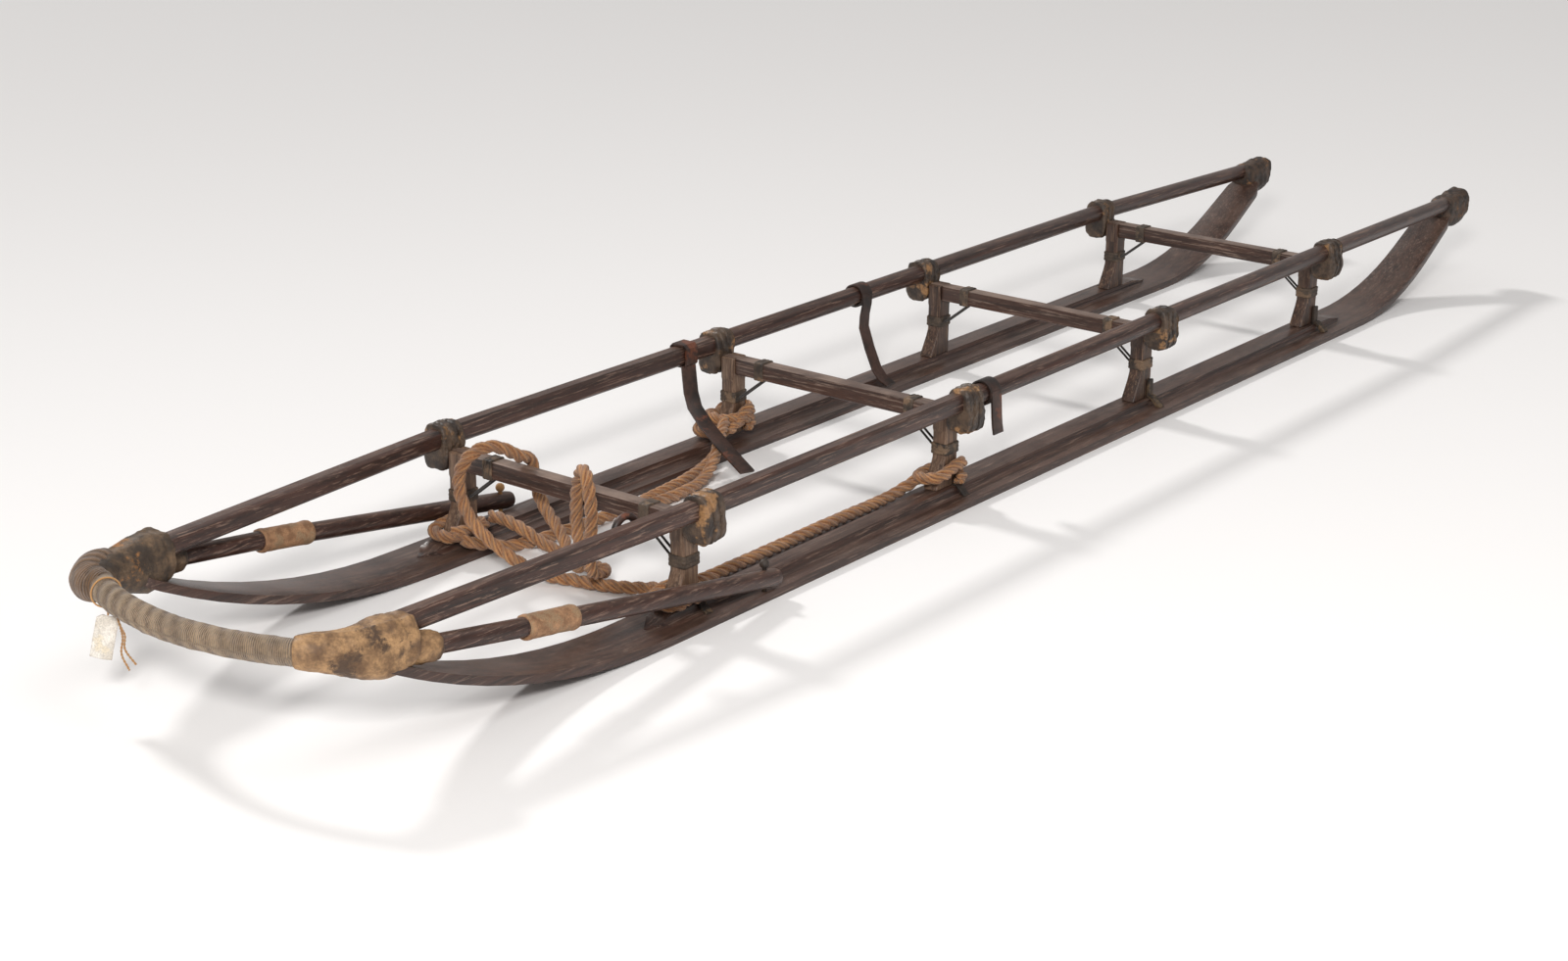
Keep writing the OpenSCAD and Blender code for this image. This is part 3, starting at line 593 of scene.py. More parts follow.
class WoodFinish(Finish):
    """Old dark varnish over wood, with grain, pores, scuffs, and top faces paled by dust and a painted sheen.
    """

    def __init__(self, look: WoodLook, groups: Groups) -> None:
        """Builds the material from its look."""
        super().__init__(look.name, look.gloss, 0.35, 0.0012)
        work = self.work
        place = self.stretched(look.grain.value)
        grain = self.group(groups.grain, Fine=24.0, Scuff=look.scuff)
        work.join(place, grain.inputs["Vector"])
        body = work.mix(grain.outputs["Grain"], look.dark, look.light)
        body = work.mix(grain.outputs["Pores"], body, tuple(c * 0.35 for c in look.dark))
        # Painted sheen: top faces are paled towards the bare colour, by mottled dust and by an even amount
        # that stands for light from above
        lit = self.top_faces()
        dust = self.group(groups.mottle, Size=14.0, Worn=0.5)
        work.join(self.place.outputs["Object"], dust.inputs["Vector"])
        top_dust_and_sheen = work.math(
            "MULTIPLY", lit,
            work.math("ADD", work.math("MULTIPLY", dust.outputs["Blotch"], look.dust), look.dust * 0.4)
        )
        body = work.mix(top_dust_and_sheen, body, look.bare)
        worn = work.math("MULTIPLY", grain.outputs["Scuffs"], 0.55)
        body = work.mix(worn, body, look.bare)
        rougher = work.math("ADD", work.math("MULTIPLY", worn, 0.25), look.gloss)
        self.paint(body, grain.outputs["Height"], rougher)

    def top_faces(self) -> bpy.types.NodeSocket:
        """1 on faces that look up, 0 on the others."""
        geometry = self.work.add("ShaderNodeNewGeometry")
        parts = self.work.add("ShaderNodeSeparateXYZ")
        self.work.join(geometry.outputs["Normal"], parts.inputs[0])
        return self.work.ramp(parts.outputs["Z"], 0.55, 0.95)


@dataclass(frozen=True)
class HideLook:
    """Colours and wear of one kind of hide or leather."""

    name: str
    dark: Colour
    light: Colour
    worn: Colour
    amount: float
    size: float = 40.0
    gloss: float = 0.62
    relief: float = 0.6
    depth: float = 0.002


class HideFinish(Finish):
    """Dried hide: two-tone blotches, worn patches and fine speckle."""

    def __init__(self, look: HideLook, groups: Groups) -> None:
        """Builds the material from its look."""
        super().__init__(look.name, look.gloss, look.relief, look.depth)
        work = self.work
        mottle = self.group(groups.mottle, Size=look.size, Worn=look.amount)
        work.join(self.place.outputs["Object"], mottle.inputs["Vector"])
        body = work.mix(mottle.outputs["Blotch"], look.dark, look.light)
        body = work.mix(mottle.outputs["Worn"], body, look.worn)
        speckle = work.math("MULTIPLY", mottle.outputs["Speckle"], 0.35)
        body = work.mix(speckle, body, tuple(c * 0.3 for c in look.dark))
        self.paint(body, mottle.outputs["Height"])


@dataclass(frozen=True)
class RopeLook:
    """Colours of a laid rope or twine and the lay of its yarns."""

    name: str
    dark: Colour
    light: Colour
    # the yarns' crest colour; the hollows left darker beside it are painted shade
    pale: Colour
    yarns: float
    slant: float
    depth: float = 0.0012


class RopeFinish(Finish):
    """Laid fibre: slanted yarns, loose fuzz, and painted shade that darkens the hollows between yarns."""

    def __init__(self, look: RopeLook, groups: Groups) -> None:
        """Builds the material from its look."""
        super().__init__(look.name, 0.88, 0.75, look.depth)
        work = self.work
        lay = self.group(groups.lay, Yarns=look.yarns, Slant=look.slant)
        work.join(self.place.outputs["UV"], lay.inputs["UV"])
        soil = self.group(groups.mottle, Size=22.0, Worn=0.3)
        work.join(self.place.outputs["Object"], soil.inputs["Vector"])
        body = work.mix(lay.outputs["Fuzz"], look.dark, look.light)
        # Painted shade: the yarns' crests go towards the pale colour and the hollows keep the darker body
        # colour, following the relief
        body = work.mix(work.math("MULTIPLY", lay.outputs["Stripe"], 0.45), body, look.pale)
        body = work.mix(work.math("MULTIPLY", soil.outputs["Blotch"], 0.35), body, look.dark)
        height = work.math(
            "ADD", work.math("MULTIPLY", lay.outputs["Stripe"], 0.6),
            work.math("MULTIPLY", lay.outputs["Fuzz"], 0.5)
        )
        self.paint(body, height)
        self.shader.inputs["Sheen Weight"].default_value = 0.25
        self.shader.inputs["Sheen Roughness"].default_value = 0.6


DARK_WOOD = WoodLook(
    "dark_varnish", linear(32, 20, 16), linear(72, 45, 36), linear(150, 122, 106),
    0.1, Grain.ALONG, 0.33, 0.14
)
RUNNER_WOOD = WoodLook(
    "runner_varnish", linear(36, 24, 20), linear(76, 52, 43), linear(140, 116, 102),
    0.08, Grain.ALONG, 0.36, 0.14
)
POST_WOOD = WoodLook(
    "post_varnish", linear(62, 44, 34), linear(122, 94, 74), linear(150, 124, 102),
    0.3, Grain.UPRIGHT, 0.5, 0.2
)
REAR_POST_WOOD = WoodLook(
    "rear_post_varnish", linear(38, 26, 20), linear(80, 56, 44), linear(140, 112, 90),
    0.2, Grain.UPRIGHT, 0.45, 0.15
)
BAR_WOOD = WoodLook(
    "bar_varnish", linear(42, 27, 21), linear(76, 50, 39), linear(150, 128, 114), 0.15, Grain.ACROSS, 0.4, 0.5
)
CANE = WoodLook(
    "bare_cane", linear(96, 80, 66), linear(140, 122, 104), linear(170, 152, 132), 0.4, Grain.ACROSS, 0.6
)

LASHING_HIDE = HideLook(
    "lashing_hide", linear(44, 34, 28), linear(92, 73, 57), linear(156, 116, 76), 0.1, 40.0, 0.5, 0.9
)
COVER_HIDE = HideLook(
    "cover_hide", linear(104, 76, 50), linear(176, 138, 96), linear(74, 54, 38), 0.16, 34.0, 0.6, 1.0
)
FAR_COVER_HIDE = HideLook(
    "far_cover_hide", linear(58, 46, 36), linear(118, 94, 70), linear(164, 112, 62), 0.14, 34.0, 0.6, 1.0
)
CAP_HIDE = HideLook(
    "cap_hide", linear(40, 31, 26), linear(84, 64, 50), linear(140, 98, 58), 0.05, 60.0, 0.6, 0.9
)
BAND_HIDE = HideLook("band_hide", linear(50, 41, 34), linear(88, 73, 60), linear(122, 98, 76), 0.2, 60.0)
SLEEVE_HIDE = HideLook(
    "sleeve_hide", linear(132, 96, 68), linear(176, 134, 98), linear(150, 122, 92), 0.3, 80.0, 0.72
)
DARK_HIDE = HideLook("dark_hide", linear(36, 29, 25), linear(64, 52, 43), linear(104, 84, 62), 0.22, 50.0)
STRAP_LEATHER = HideLook(
    "strap_leather", linear(32, 22, 18), linear(68, 45, 36), linear(112, 62, 40), 0.1, 26.0, 0.5, 0.4, 0.001
)
CARD = HideLook(
    "tag_card", linear(214, 206, 194), linear(238, 233, 224), linear(226, 214, 192), 0.2, 60.0, 0.8, 0.1,
    0.0003
)

HEMP = RopeLook("rope_hemp", linear(78, 44, 22), linear(182, 120, 68), linear(222, 166, 106), 5.0, 34.0)
SEIZING = RopeLook(
    "seizing_cord", linear(58, 44, 34), linear(138, 114, 90), linear(190, 166, 132), 3.0, 400.0, 0.0006
)
GOLD_CORD = RopeLook(
    "corner_cord", linear(48, 36, 27), linear(108, 82, 58), linear(150, 108, 66), 3.0, 400.0, 0.0006
)
TARRED = RopeLook(
    "tarred_cord", linear(24, 20, 18), linear(44, 37, 33), linear(60, 52, 46), 2.0, 260.0, 0.0004
)
TWINE = RopeLook(
    "waxed_twine", linear(146, 98, 52), linear(196, 146, 88), linear(214, 172, 112), 2.0, 300.0, 0.0004
)


@dataclass
class Wardrobe:
    """Every material of the sledge, made once."""

    groups: Groups = field(default_factory=Groups)
    made: dict[str, bpy.types.Material] = field(default_factory=dict)

    def of(self, look: WoodLook | HideLook | RopeLook) -> bpy.types.Material:
        """The material of a look, built the first time that it is asked for."""
        if look.name not in self.made:
            kinds = {WoodLook: WoodFinish, HideLook: HideFinish, RopeLook: RopeFinish}
            self.made[look.name] = kinds[type(look)](look, self.groups).material
        return self.made[look.name]

    def dress(self, piece: bpy.types.Object, look: WoodLook | HideLook | RopeLook) -> bpy.types.Object:
        """Gives a piece one material in all its slots."""
        piece.data.materials.clear()
        piece.data.materials.append(self.of(look))
        return piece


# ---------------------------------------------------------------- pieces


@dataclass
class Maker:
    """What every sub-assembly needs: the frame, the finishes and how pieces are placed."""

    frame: dict
    wardrobe: Wardrobe

    def set_in(
        self, piece: bpy.types.Object, node: str, look: WoodLook | HideLook | RopeLook
    ) -> bpy.types.Object:
        """Dresses a piece, rides it on its node's body and hides the node behind it.

        Args:
            piece: The new piece.
            node: Name of the CAD node that it stands for.
            look: Its finish.

        Returns:
            The piece.
        """
        self.wardrobe.dress(piece, look)
        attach(piece, self.body_of(node))
        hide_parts(node)
        log.info("piece %s stands for %s", piece.name, node)
        return piece

    def body_of(self, node: str) -> str:
        """Name of the body that a node belongs to."""
        return self.frame["nodes"][node]["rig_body"]

    def copy_of(self, node: str, name: str) -> bpy.types.Object:
        """A merged copy of a CAD node's mesh as a new piece."""
        source = self.frame["nodes"][node]
        work = bmesh.new()
        work.from_mesh(source.data)
        bmesh.ops.remove_doubles(work, verts=work.verts, dist=0.00002)
        mesh = bpy.data.meshes.new(name)
        work.to_mesh(mesh)
        work.free()
        piece = bpy.data.objects.new(name, mesh)
        bpy.context.scene.collection.objects.link(piece)
        return piece

    def eased_copy(self, node: str, name: str, width: float, angle: float = 40.0) -> bpy.types.Object:
        """A copy of a node with flat faces joined and every sharp edge worn round.

        Args:
            node: The CAD node.
            name: The piece's name.
            width: Width of the worn edge in metres.
            angle: Edges sharper than this are worn, in degrees.

        Returns:
            The piece, with a live bevel.
        """
        piece = self.copy_of(node, name)
        work = bmesh.new()
        work.from_mesh(piece.data)
        bmesh.ops.dissolve_limit(work, angle_limit=math.radians(0.6), verts=work.verts, edges=work.edges)
        work.to_mesh(piece.data)
        work.free()
        piece.data.polygons.foreach_set("use_smooth", np.ones(len(piece.data.polygons), dtype=bool))
        bevel = piece.modifiers.new("worn_edges", "BEVEL")
        bevel.width = width
        bevel.segments = 3
        bevel.limit_method = "ANGLE"
        bevel.angle_limit = math.radians(angle)
        bevel.harden_normals = True
        return piece


def laid_rope(
    name: str, path: Array, diameter: float, pitch: float, strands: int = 3, sides: int = 12
) -> bpy.types.Object:
    """A laid rope: round strands that turn about a path, each half the rope's size.

    A strand's middle lies at path + r * (cos(a) * side + sin(a) * up), where a grows by a
    full turn over each pitch, and its own ring stands on the outward direction.

    Args:
        name: Piece name.
        path: The rope's middle line, evenly spaced.
        diameter: The rope's diameter.
        pitch: Length of one full turn.
        strands: Number of strands.
        sides: Sides of each strand.

    Returns:
        The piece, with a UV map in metres along and 0 to 1 round each strand.
    """
    radius = diameter / 2
    strand = radius * (0.53 if strands == 3 else 0.56)
    offset = radius - strand
    _, side, up = carried_frames(path)
    along = np.concatenate([[0.0], np.cumsum(np.linalg.norm(np.diff(path, axis=0), axis=1))])
    vertices, faces, uvs = [], [], []
    count = len(path)
    for k in range(strands):
        turn = 2 * np.pi * (along / pitch + k / strands)
        out = np.cos(turn)[:, None] * side + np.sin(turn)[:, None] * up
        middle = path + offset * out
        tangent = unit_rows(np.gradient(middle, axis=0))
        normal = unit_rows(out - tangent * np.sum(out * tangent, axis=1, keepdims=True))
        across = np.cross(tangent, normal)
        angle = np.linspace(0, 2 * np.pi, sides, endpoint=False)
        swell = strand * (1 + 0.05 * lattice_noise(middle, 0.02, 40 + k))
        ring = np.cos(angle)[None, :, None] * normal[:, None, :] + np.sin(angle)[None, :, None] * across[
            :, None, :
        ]
        rings = middle[:, None, :] + ring * swell[:, None, None]
        faces += tube_faces(count, sides, k * count * sides)
        vertices.append(rings.reshape(-1, 3))
        u = np.repeat(along[:, None], sides, axis=1)
        v = np.repeat(np.linspace(0, 1, sides, endpoint=False)[None, :], count, axis=0)
        uvs.append(np.stack([u + k * 3.7, v], -1).reshape(-1, 2))
    piece = mesh_piece(name, np.vstack(vertices), faces, np.vstack(uvs))
    face_outwards(piece)
    return piece


def from_station(points: Sequence[Point]) -> list[Point]:
    """Route points given in millimetres from the first stanchions, as metres in the frame."""
    return [(STATION_1_X + x * MM, y * MM, z * MM) for x, y, z in points]


@dataclass
class Ropes(Maker):
    """The hauling rope: four free runs and its turns round four stanchion feet."""

    diameter: float = 0.017
    pitch: float = 0.052
    step: float = 0.004

    near = [
        (-480, 155, 26), (-448, 152, 21), (-395, 151, 20.2), (-337, 150, 20.2), (-280, 150, 20.2),
        (-218, 151, 20.2), (-160, 151, 20.2), (-100, 151, 20.2), (-66, 152, 21), (-40, 156, 25),
    ]
    loop = [
        (-22, 143, 20.5), (-30, 124, 15), (-26, 101, 9.5), (-13, 82, 9.5), (-3, 60, 9.5), (5, 35, 9.5),
        (11, 9, 9.5), (20, -10, 11), (35, -25, 19), (46, -43, 29), (54, -58, 40), (62, -76, 54),
        (68, -94, 71), (71, -107, 90), (72, -115, 112), (70, -116, 135), (64, -108, 154), (52, -98, 165),
        (37, -89, 166), (20, -83, 158), (3, -81, 147), (-8, -82, 143), (-17.5, -84, 139.5),
        (-24.5, -85, 130), (-29, -85, 115), (-31, -82, 92), (-28, -66, 72), (-15, -32, 56),
        (-1, -4, 40), (12, 20, 31), (22, 35, 38), (25, 38, 56), (22, 32, 78), (20, 28, 108),
        (23, 34, 142), (34, 51, 165), (46, 68, 166), (51, 77, 148), (50, 79, 122), (49, 77, 98),
        (46, 72, 76), (40, 66, 54), (28, 60, 37), (10, 53, 29), (-8, 47, 26), (-24, 31, 14),
        (-42, 2, 9.5), (-50, -32, 9.5), (-49, -62, 11), (-44, -88, 18), (-41, -118, 30),
        (-40, -148, 36), (-40, -172, 36),
    ]
    far = [
        (14, -142, 20.5), (-4, -137, 17), (-20, -129, 10.5), (-52, -118, 9.5), (-96, -112, 9.5),
        (-159, -108, 9.5), (-218, -106, 9.5), (-293, -112, 9.5), (-355, -119, 9.5), (-410, -129, 12),
        (-448, -136, 21), (-480, -154, 25),
    ]
    tail = [
        (-480, -150, 50), (-452, -134, 42), (-412, -112, 24), (-370, -98, 11), (-322, -91, 9.5),
        (-262, -92, 9.5),
    ]

    # A point ahead of each run's first one, under the turn that it comes out of
    tucked = {
        "rope_near": [(-503, 166, 38)], "rope_loop": [(-14, 158, 27)],
        "rope_far": [(30, -156, 27)], "rope_tail": [(-494, -158, 52)],
    }

    def make(self) -> None:
        """Builds and declares every run, then the turns."""
        for node, points, end in (
            ("rope_near", self.near, "object"),
            ("rope_loop", self.loop, "object"),
            ("rope_far", self.far, "object"),
            ("rope_tail", self.tail, "bare"),
        ):
            path = smooth_path(from_station(self.tucked[node] + points), self.step)
            piece = laid_rope(node + "_laid", path, self.diameter, self.pitch)
            self.set_in(piece, node, HEMP)
        for index, side, levels in (
            (1, Side.LEFT, 1), (2, Side.LEFT, 1), (1, Side.RIGHT, 1), (2, Side.RIGHT, 2)
        ):
            self.turns(index, side, levels)

    def turns(self, index: int, side: Side, levels: int) -> None:
        """Rope turns round one foot, and a hitch over them where there is more than one.

        Seen from above the path is a rounded rectangle; it rises by a rope's size each turn,
        and a hitch comes back down over the outside of the turns at a slant.
        """
        node = f"rope_turn_{index}_{side.word}"
        low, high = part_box(node)
        radius = self.diameter / 2
        half_x = (high[0] - low[0]) / 2 - radius
        half_y = (high[1] - low[1]) / 2 - radius
        middle = ((high[0] + low[0]) / 2, (high[1] + low[1]) / 2)
        bottom, top = low[2] + radius, high[2] - radius
        around = levels + 0.12
        angle = np.linspace(0, 2 * np.pi * around, int(40 * around)) + (0.5 if index == 1 else 2.2)
        rise = np.clip(np.linspace(-0.15, 1.15, len(angle)), 0, 1)
        height = bottom + (top - bottom) * rise + 0.003 * np.sin(angle * 1.5 + index)
        swing = 1.0 + 0.02 * np.sin(2.3 * angle + index)
        if levels > 1:
            back = angle[-1] + np.linspace(0.15, 1.9 * np.pi, 34)
            slant = (1 + np.cos(np.linspace(0, 2 * np.pi, 34))) / 2
            angle = np.concatenate([angle, back])
            height = np.concatenate([height, bottom + (top - bottom + 0.006) * slant])
            forward = np.clip(np.cos(back), 0, 1) ** 2
            swing = np.concatenate([swing, 1.0 + 0.2 * np.sin(np.linspace(0.35, np.pi, 34)) + 0.34 * forward])
        reach = superellipse(angle, half_x, half_y, 4.0) * swing
        points = np.stack([middle[0] + reach * np.cos(angle), middle[1] + reach * np.sin(angle), height], 1)
        path = smooth_path(points[::2].tolist(), 0.003)
        self.set_in(laid_rope(node + "_laid", path, self.diameter, self.pitch * 0.9), node, HEMP)


@dataclass
class Timber(Maker):
    """Runners, rails, stanchions, crossbars and struts, with worn edges."""

    def make(self) -> None:
        """Eases the edges of every wooden member and dresses it."""
        for side in Side:
            self.member(f"runner_{side.word}", 0.0022, RUNNER_WOOD)
            self.member(f"rail_{side.word}", 0.0016, DARK_WOOD)
            self.member(f"strut_{side.word}", 0.0012, DARK_WOOD)
            for index in range(1, 5):
                self.member(
                    f"stanchion_{index}_{side.word}", 0.0022, POST_WOOD if index < 3 else REAR_POST_WOOD
                )
        for index in range(1, 5):
            self.member(f"crossbar_{index}", 0.0022, BAR_WOOD)

    def member(self, node: str, width: float, look: WoodLook) -> None:
        """One wooden member."""
        piece = self.eased_copy(node, node + "_worn", width)
        self.set_in(piece, node, look)


def bow_point(x: float, y: float, z: float, side: Side = Side.LEFT) -> Point:
    """A point given in millimetres from the first stanchions, on one side, in the frame."""
    return (STATION_1_X + x * MM, y * MM * side.value, z * MM)


@dataclass
class BowHoop(Maker):
    """The bent bow hoop, the cord seized over its front and the lump of it at one corner."""

    curve_radius: float = 354.0
    curve_centre: float = 268.0
    seizing_radius: float = 0.0149
    lay: float = 0.0026
    half_angle: float = math.radians(24.8)

    def make(self) -> None:
        """Dresses the cane, winds the seizing and binds the right corner."""
        self.set_in(self.eased_copy("bow_hoop", "bow_cane", 0.0006), "bow_hoop", CANE)
        angle = np.linspace(-self.half_angle, self.half_angle, 40)
        x = self.curve_centre + self.curve_radius * np.cos(angle)
        y = self.curve_radius * np.sin(angle)
        front = [bow_point(a, b, 146 - 0.0109 * a) for a, b in zip(x, y)]
        front += [bow_point(585.5, 156.0, 139.6), bow_point(580.0, 163.5, 139.5)]
        size = np.array([[0.0, 1.12], [0.06, 1.0], [0.5, 0.98], [0.95, 1.0], [1.0, 1.06]])
        piece = self.wound("bow_seizing_cord", front, self.seizing_radius, size, self.lay, 3)
        self.set_in(piece, "bow_seizing", SEIZING)
        corner = [
            (592, 138, 139.6), (593, 150, 139.6), (590, 162, 139.6), (580, 173, 139.4),
            (567, 181, 139.0), (554, 185, 138.4), (541, 186, 137.6),
        ]
        points = [bow_point(*point, Side.RIGHT) for point in corner]
        size = np.array([[0.0, 0.74], [0.1, 0.86], [0.35, 1.0], [0.7, 1.04], [0.92, 0.96], [1.0, 0.7]])
        lump = self.wound("bow_corner_binding", points, 0.0225, size, 0.0028, 8)
        self.wardrobe.dress(lump, GOLD_CORD)
        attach(lump, self.body_of("bow_seizing"))

    def wound(
        self, name: str, points: list[Point], radius: float, size: Array, lay: float, seed: int
    ) -> bpy.types.Object:
        """Cord wound round a path: one rounded ridge for each turn.

        Args:
            name: Piece name.
            points: The path.
            radius: Radius over the ridges.
            size: Pairs of share along the path and multiple of the radius.
            lay: Distance along the path from turn to turn.
            seed: Picks the unevenness.

        Returns:
            The piece.
        """
        per_turn, sides = 6, 36
        path = smooth_path(points, lay / per_turn)
        tangent, _, _ = carried_frames(path)
        up = unit_rows(np.array([0.0, 0.0, 1.0]) - tangent * tangent[:, 2:3])
        out = np.cross(tangent, up)
        around = np.linspace(0, 2 * np.pi, sides, endpoint=False)[None, :]
        along = np.arange(len(path))[:, None] / per_turn
        ridge = np.abs(np.sin(np.pi * along + around / 2)) ** 0.55
        share = np.linspace(0, 1, len(path))
        swell = np.interp(share, size[:, 0], size[:, 1])[:, None]
        reach = radius * swell - 0.0011 * (1 - ridge)
        way = np.cos(around)[..., None] * out[:, None, :] + np.sin(around)[..., None] * up[:, None, :]
        spots = path[:, None, :] + reach[..., None] * way
        spots += (0.0006 * rough(spots, 0.014, seed))[..., None] * way
        return ring_surface(name, spots)


@dataclass
class Hides(Maker):
    """Rawhide lashings, covers, caps, bands, sleeves and thongs."""

    def make(self) -> None:
        """Builds every hide piece."""
        for side in Side:
            for index in range(1, 5):
                self.rail_lashing(index, side)
            self.bow_cover(side)
            self.rear_cap(side)
            self.sleeve(f"strut_sleeve_{side.word}", SLEEVE_HIDE, 0.0007, side)
            self.lobe(side)
            self.knot(side)
        self.bands("stanchion_bands", True)
        self.bands("crossbar_bands", False)
        self.set_in(self.eased_copy("foot_thongs", "foot_thongs_soft", 0.0009), "foot_thongs", DARK_HIDE)

    def rail_lashing(self, index: int, side: Side) -> None:
        """The bundle of hide round a rail and a crossbar's end.

        Its outline round the rail's direction is a rounded rectangle that bulges low on the
        outer side, with a raised edge for each turn of the strip.
        """
        node = f"rail_lashing_{index}_{side.word}"
        low, high = (np.array(corner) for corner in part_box(node))
        half = (high - low) / 2
        middle = (high + low) / 2
        length = high[0] - low[0]
        seed = index * 11 + (3 if side is Side.LEFT else 0)
        count = 64
        path = np.stack([
            np.linspace(low[0] - 0.001, high[0] + 0.001, count),
            np.full(count, middle[1]), np.full(count, middle[2]),
        ], 1)

        def outline(share: Array, angle: Array) -> Array:
            """Distance from the middle, with slanted turns of strip."""
            base = superellipse(angle, half[1] - 0.001, half[2] - 0.0012, 3.6)
            turns = share * 3.0 + 0.22 * np.sin(angle + seed) + 0.07 * np.sin(3 * angle + seed)
            step = 0.0026 * ((turns % 1.0) ** 0.5) - 0.0016
            bulge = 0.0022 * np.exp(-((np.mod(angle + 0.7 + np.pi, 2 * np.pi) - np.pi) ** 2) / 0.5)
            return base + step + bulge

        outward = np.array([0.0, float(side.value), 0.0])
        piece = wrapped_form(
            node + "_wrap", path, outward, np.array([0.0, 0.0, 1.0]), outline,
            sides=128, end_round=0.1, end_share=0.74, crumple=(0.0024, 0.01), seed=seed,
        )
        self.set_in(piece, node, LASHING_HIDE)

    def bow_cover(self, side: Side) -> None:
        """The hide sewn over a bow joint: deep over rail, strut and runner tip, then round the corner."""
        node = f"bow_cover_{side.word}"
        line = [
            (466, 192.5, 129.5), (480, 192, 127.5), (500, 189.5, 126), (522, 186, 127.5), (545, 181, 132),
            (563, 174, 137), (577, 164, 139.2), (584, 154, 139.6),
        ]
        path = smooth_path([bow_point(*point, side) for point in line], 0.0014)
        tangent, _, _ = carried_frames(path)
        up = np.array([0.0, 0.0, 1.0])
        outward = unit_rows(np.cross(tangent, up)) * -side.value
        seed = 60 + side.value
        places = [0.0, 0.06, 0.16, 0.3, 0.46, 0.64, 0.84, 1.0]
        wide = [24.0, 26.0, 27.0, 27.0, 25.5, 22.5, 19.5, 17.6]
        deep = [27.0, 29.5, 31.5, 32.0, 28.0, 23.5, 20.0, 17.4]

        def outline(along: Array, angle: Array) -> Array:
            """Half-sizes that follow what is inside, with wrinkles across and a folded rear edge."""
            a = np.interp(along, places, wide) * MM
            b = np.interp(along, places, deep) * MM
            base = superellipse(angle, a, b, 2.7 - 0.5 * along)
            waist = -0.0013 * np.exp(-((along - 0.12) ** 2) / 0.0008)
            pleats = 0.0007 * np.sin(9 * angle + seed + 14 * along) * np.exp(-along * 5)
            seam = 0.0016 * np.exp(
                -((np.mod(angle - 1.1 - 0.3 * along + np.pi, 2 * np.pi) - np.pi) ** 2) / 0.01
            )
            return base + waist + pleats + seam

        piece = wrapped_form(
            node + "_hide", path, outward, np.broadcast_to(up, path.shape), outline,
            sides=160, end_round=0.03, end_share=0.9, crumple=(0.0017, 0.014), seed=seed,
        )
        self.set_in(piece, node, COVER_HIDE if side is Side.LEFT else FAR_COVER_HIDE)

    def rear_cap(self, side: Side) -> None:
        """The hide cap over a rail's rear end, with its lobe down round the runner's tip."""
        node = f"rear_lashing_{side.word}"
        low, high = (np.array(corner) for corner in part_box(node))
        sign = side.value
        count = 56
        share = np.linspace(0, 1, count)
        path = np.stack([
            low[0] + 0.002 + (high[0] - low[0] - 0.006) * share,
            np.full(count, 0.193 * sign), 0.130 - 0.006 * share,
        ], 1)

        def outline(along: Array, angle: Array) -> Array:
            """Round over the rail, deeper below where the runner's tip is bound in."""
            base = superellipse(angle, 0.0205, 0.0235, 2.8)
            below = np.clip(-np.sin(angle), 0, 1) ** 2 * 0.010 * np.sin(np.pi * along)
            return base + below

        piece = wrapped_form(
            node + "_hide", path, np.array([0.0, float(sign), 0.0]), np.array([0.0, 0.0, 1.0]), outline,
            end_round=0.12, end_share=0.66, crumple=(0.0026, 0.011), seed=90 + sign,
        )
        self.set_in(piece, node, CAP_HIDE)

    def lobe(self, side: Side) -> None:
        """The collar of hide that goes on from a bow cover round the strut."""
        node = f"strut_collar_{side.word}"
        line = [
            bow_point(x, 200.5 + (478 - x) * 0.065, 118.9 - (478 - x) * 0.149, side)
            for x in (434, 446, 458, 472)
        ]
        path = smooth_path(line, 0.001)
        tangent, _, _ = carried_frames(path)
        up = unit_rows(np.array([0.0, 0.0, 1.0]) - tangent * tangent[:, 2:3])

        def outline(along: Array, angle: Array) -> Array:
            """A ring that is thick in the middle and pleated."""
            swell = 0.0153 + 0.0022 * np.sin(np.pi * np.clip(along * 1.15, 0, 1)) ** 0.7
            return swell + 0.0005 * np.sin(8 * angle + 5 * along) + 0.0008 * np.cos(angle + 1.0)

        piece = wrapped_form(
            node + "_hide", path, np.cross(tangent, up), up, outline,
            sides=112, end_round=0.1, end_share=0.86, crumple=(0.0013, 0.008), seed=31 + side.value,
        )
        self.set_in(piece, node, COVER_HIDE if side is Side.LEFT else FAR_COVER_HIDE)

    def sleeve(self, node: str, look: HideLook, roll: float, side: Side) -> None:
        """A hide sleeve round a strut, a little uneven, with a thick edge at each end.

        Args:
            node: The sleeve's CAD node.
            look: Its finish.
            roll: How far each edge stands up.
            side: The side that it is on.
        """
        low, high = (np.array(corner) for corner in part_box(node))
        ends = [np.array([low[0], 0.0, low[2]]), np.array([high[0], 0.0, high[2]])]
        radius = 0.0141
        near_y = min(abs(low[1]), abs(high[1])) + radius
        far_y = max(abs(low[1]), abs(high[1])) - radius
        ends[0][1], ends[1][1] = far_y * side.value, near_y * side.value
        ends[0][2] += radius
        ends[1][2] -= radius
        share = np.linspace(0, 1, 72)[:, None]
        path = ends[0] * (1 - share) + ends[1] * share
        tangent, _, _ = carried_frames(path)
        up = unit_rows(np.array([0.0, 0.0, 1.0]) - tangent * tangent[:, 2:3])

        def outline(along: Array, angle: Array) -> Array:
            """A round sleeve with raised edges and an overlapping seam."""
            edge = roll * (np.exp(-((along - 0.06) ** 2) / 0.0012) + np.exp(-((along - 0.94) ** 2) / 0.0012))
            seam = 0.0007 * np.exp(-((np.mod(angle - 0.8 + np.pi, 2 * np.pi) - np.pi) ** 2) / 0.02)
            return radius + edge + seam

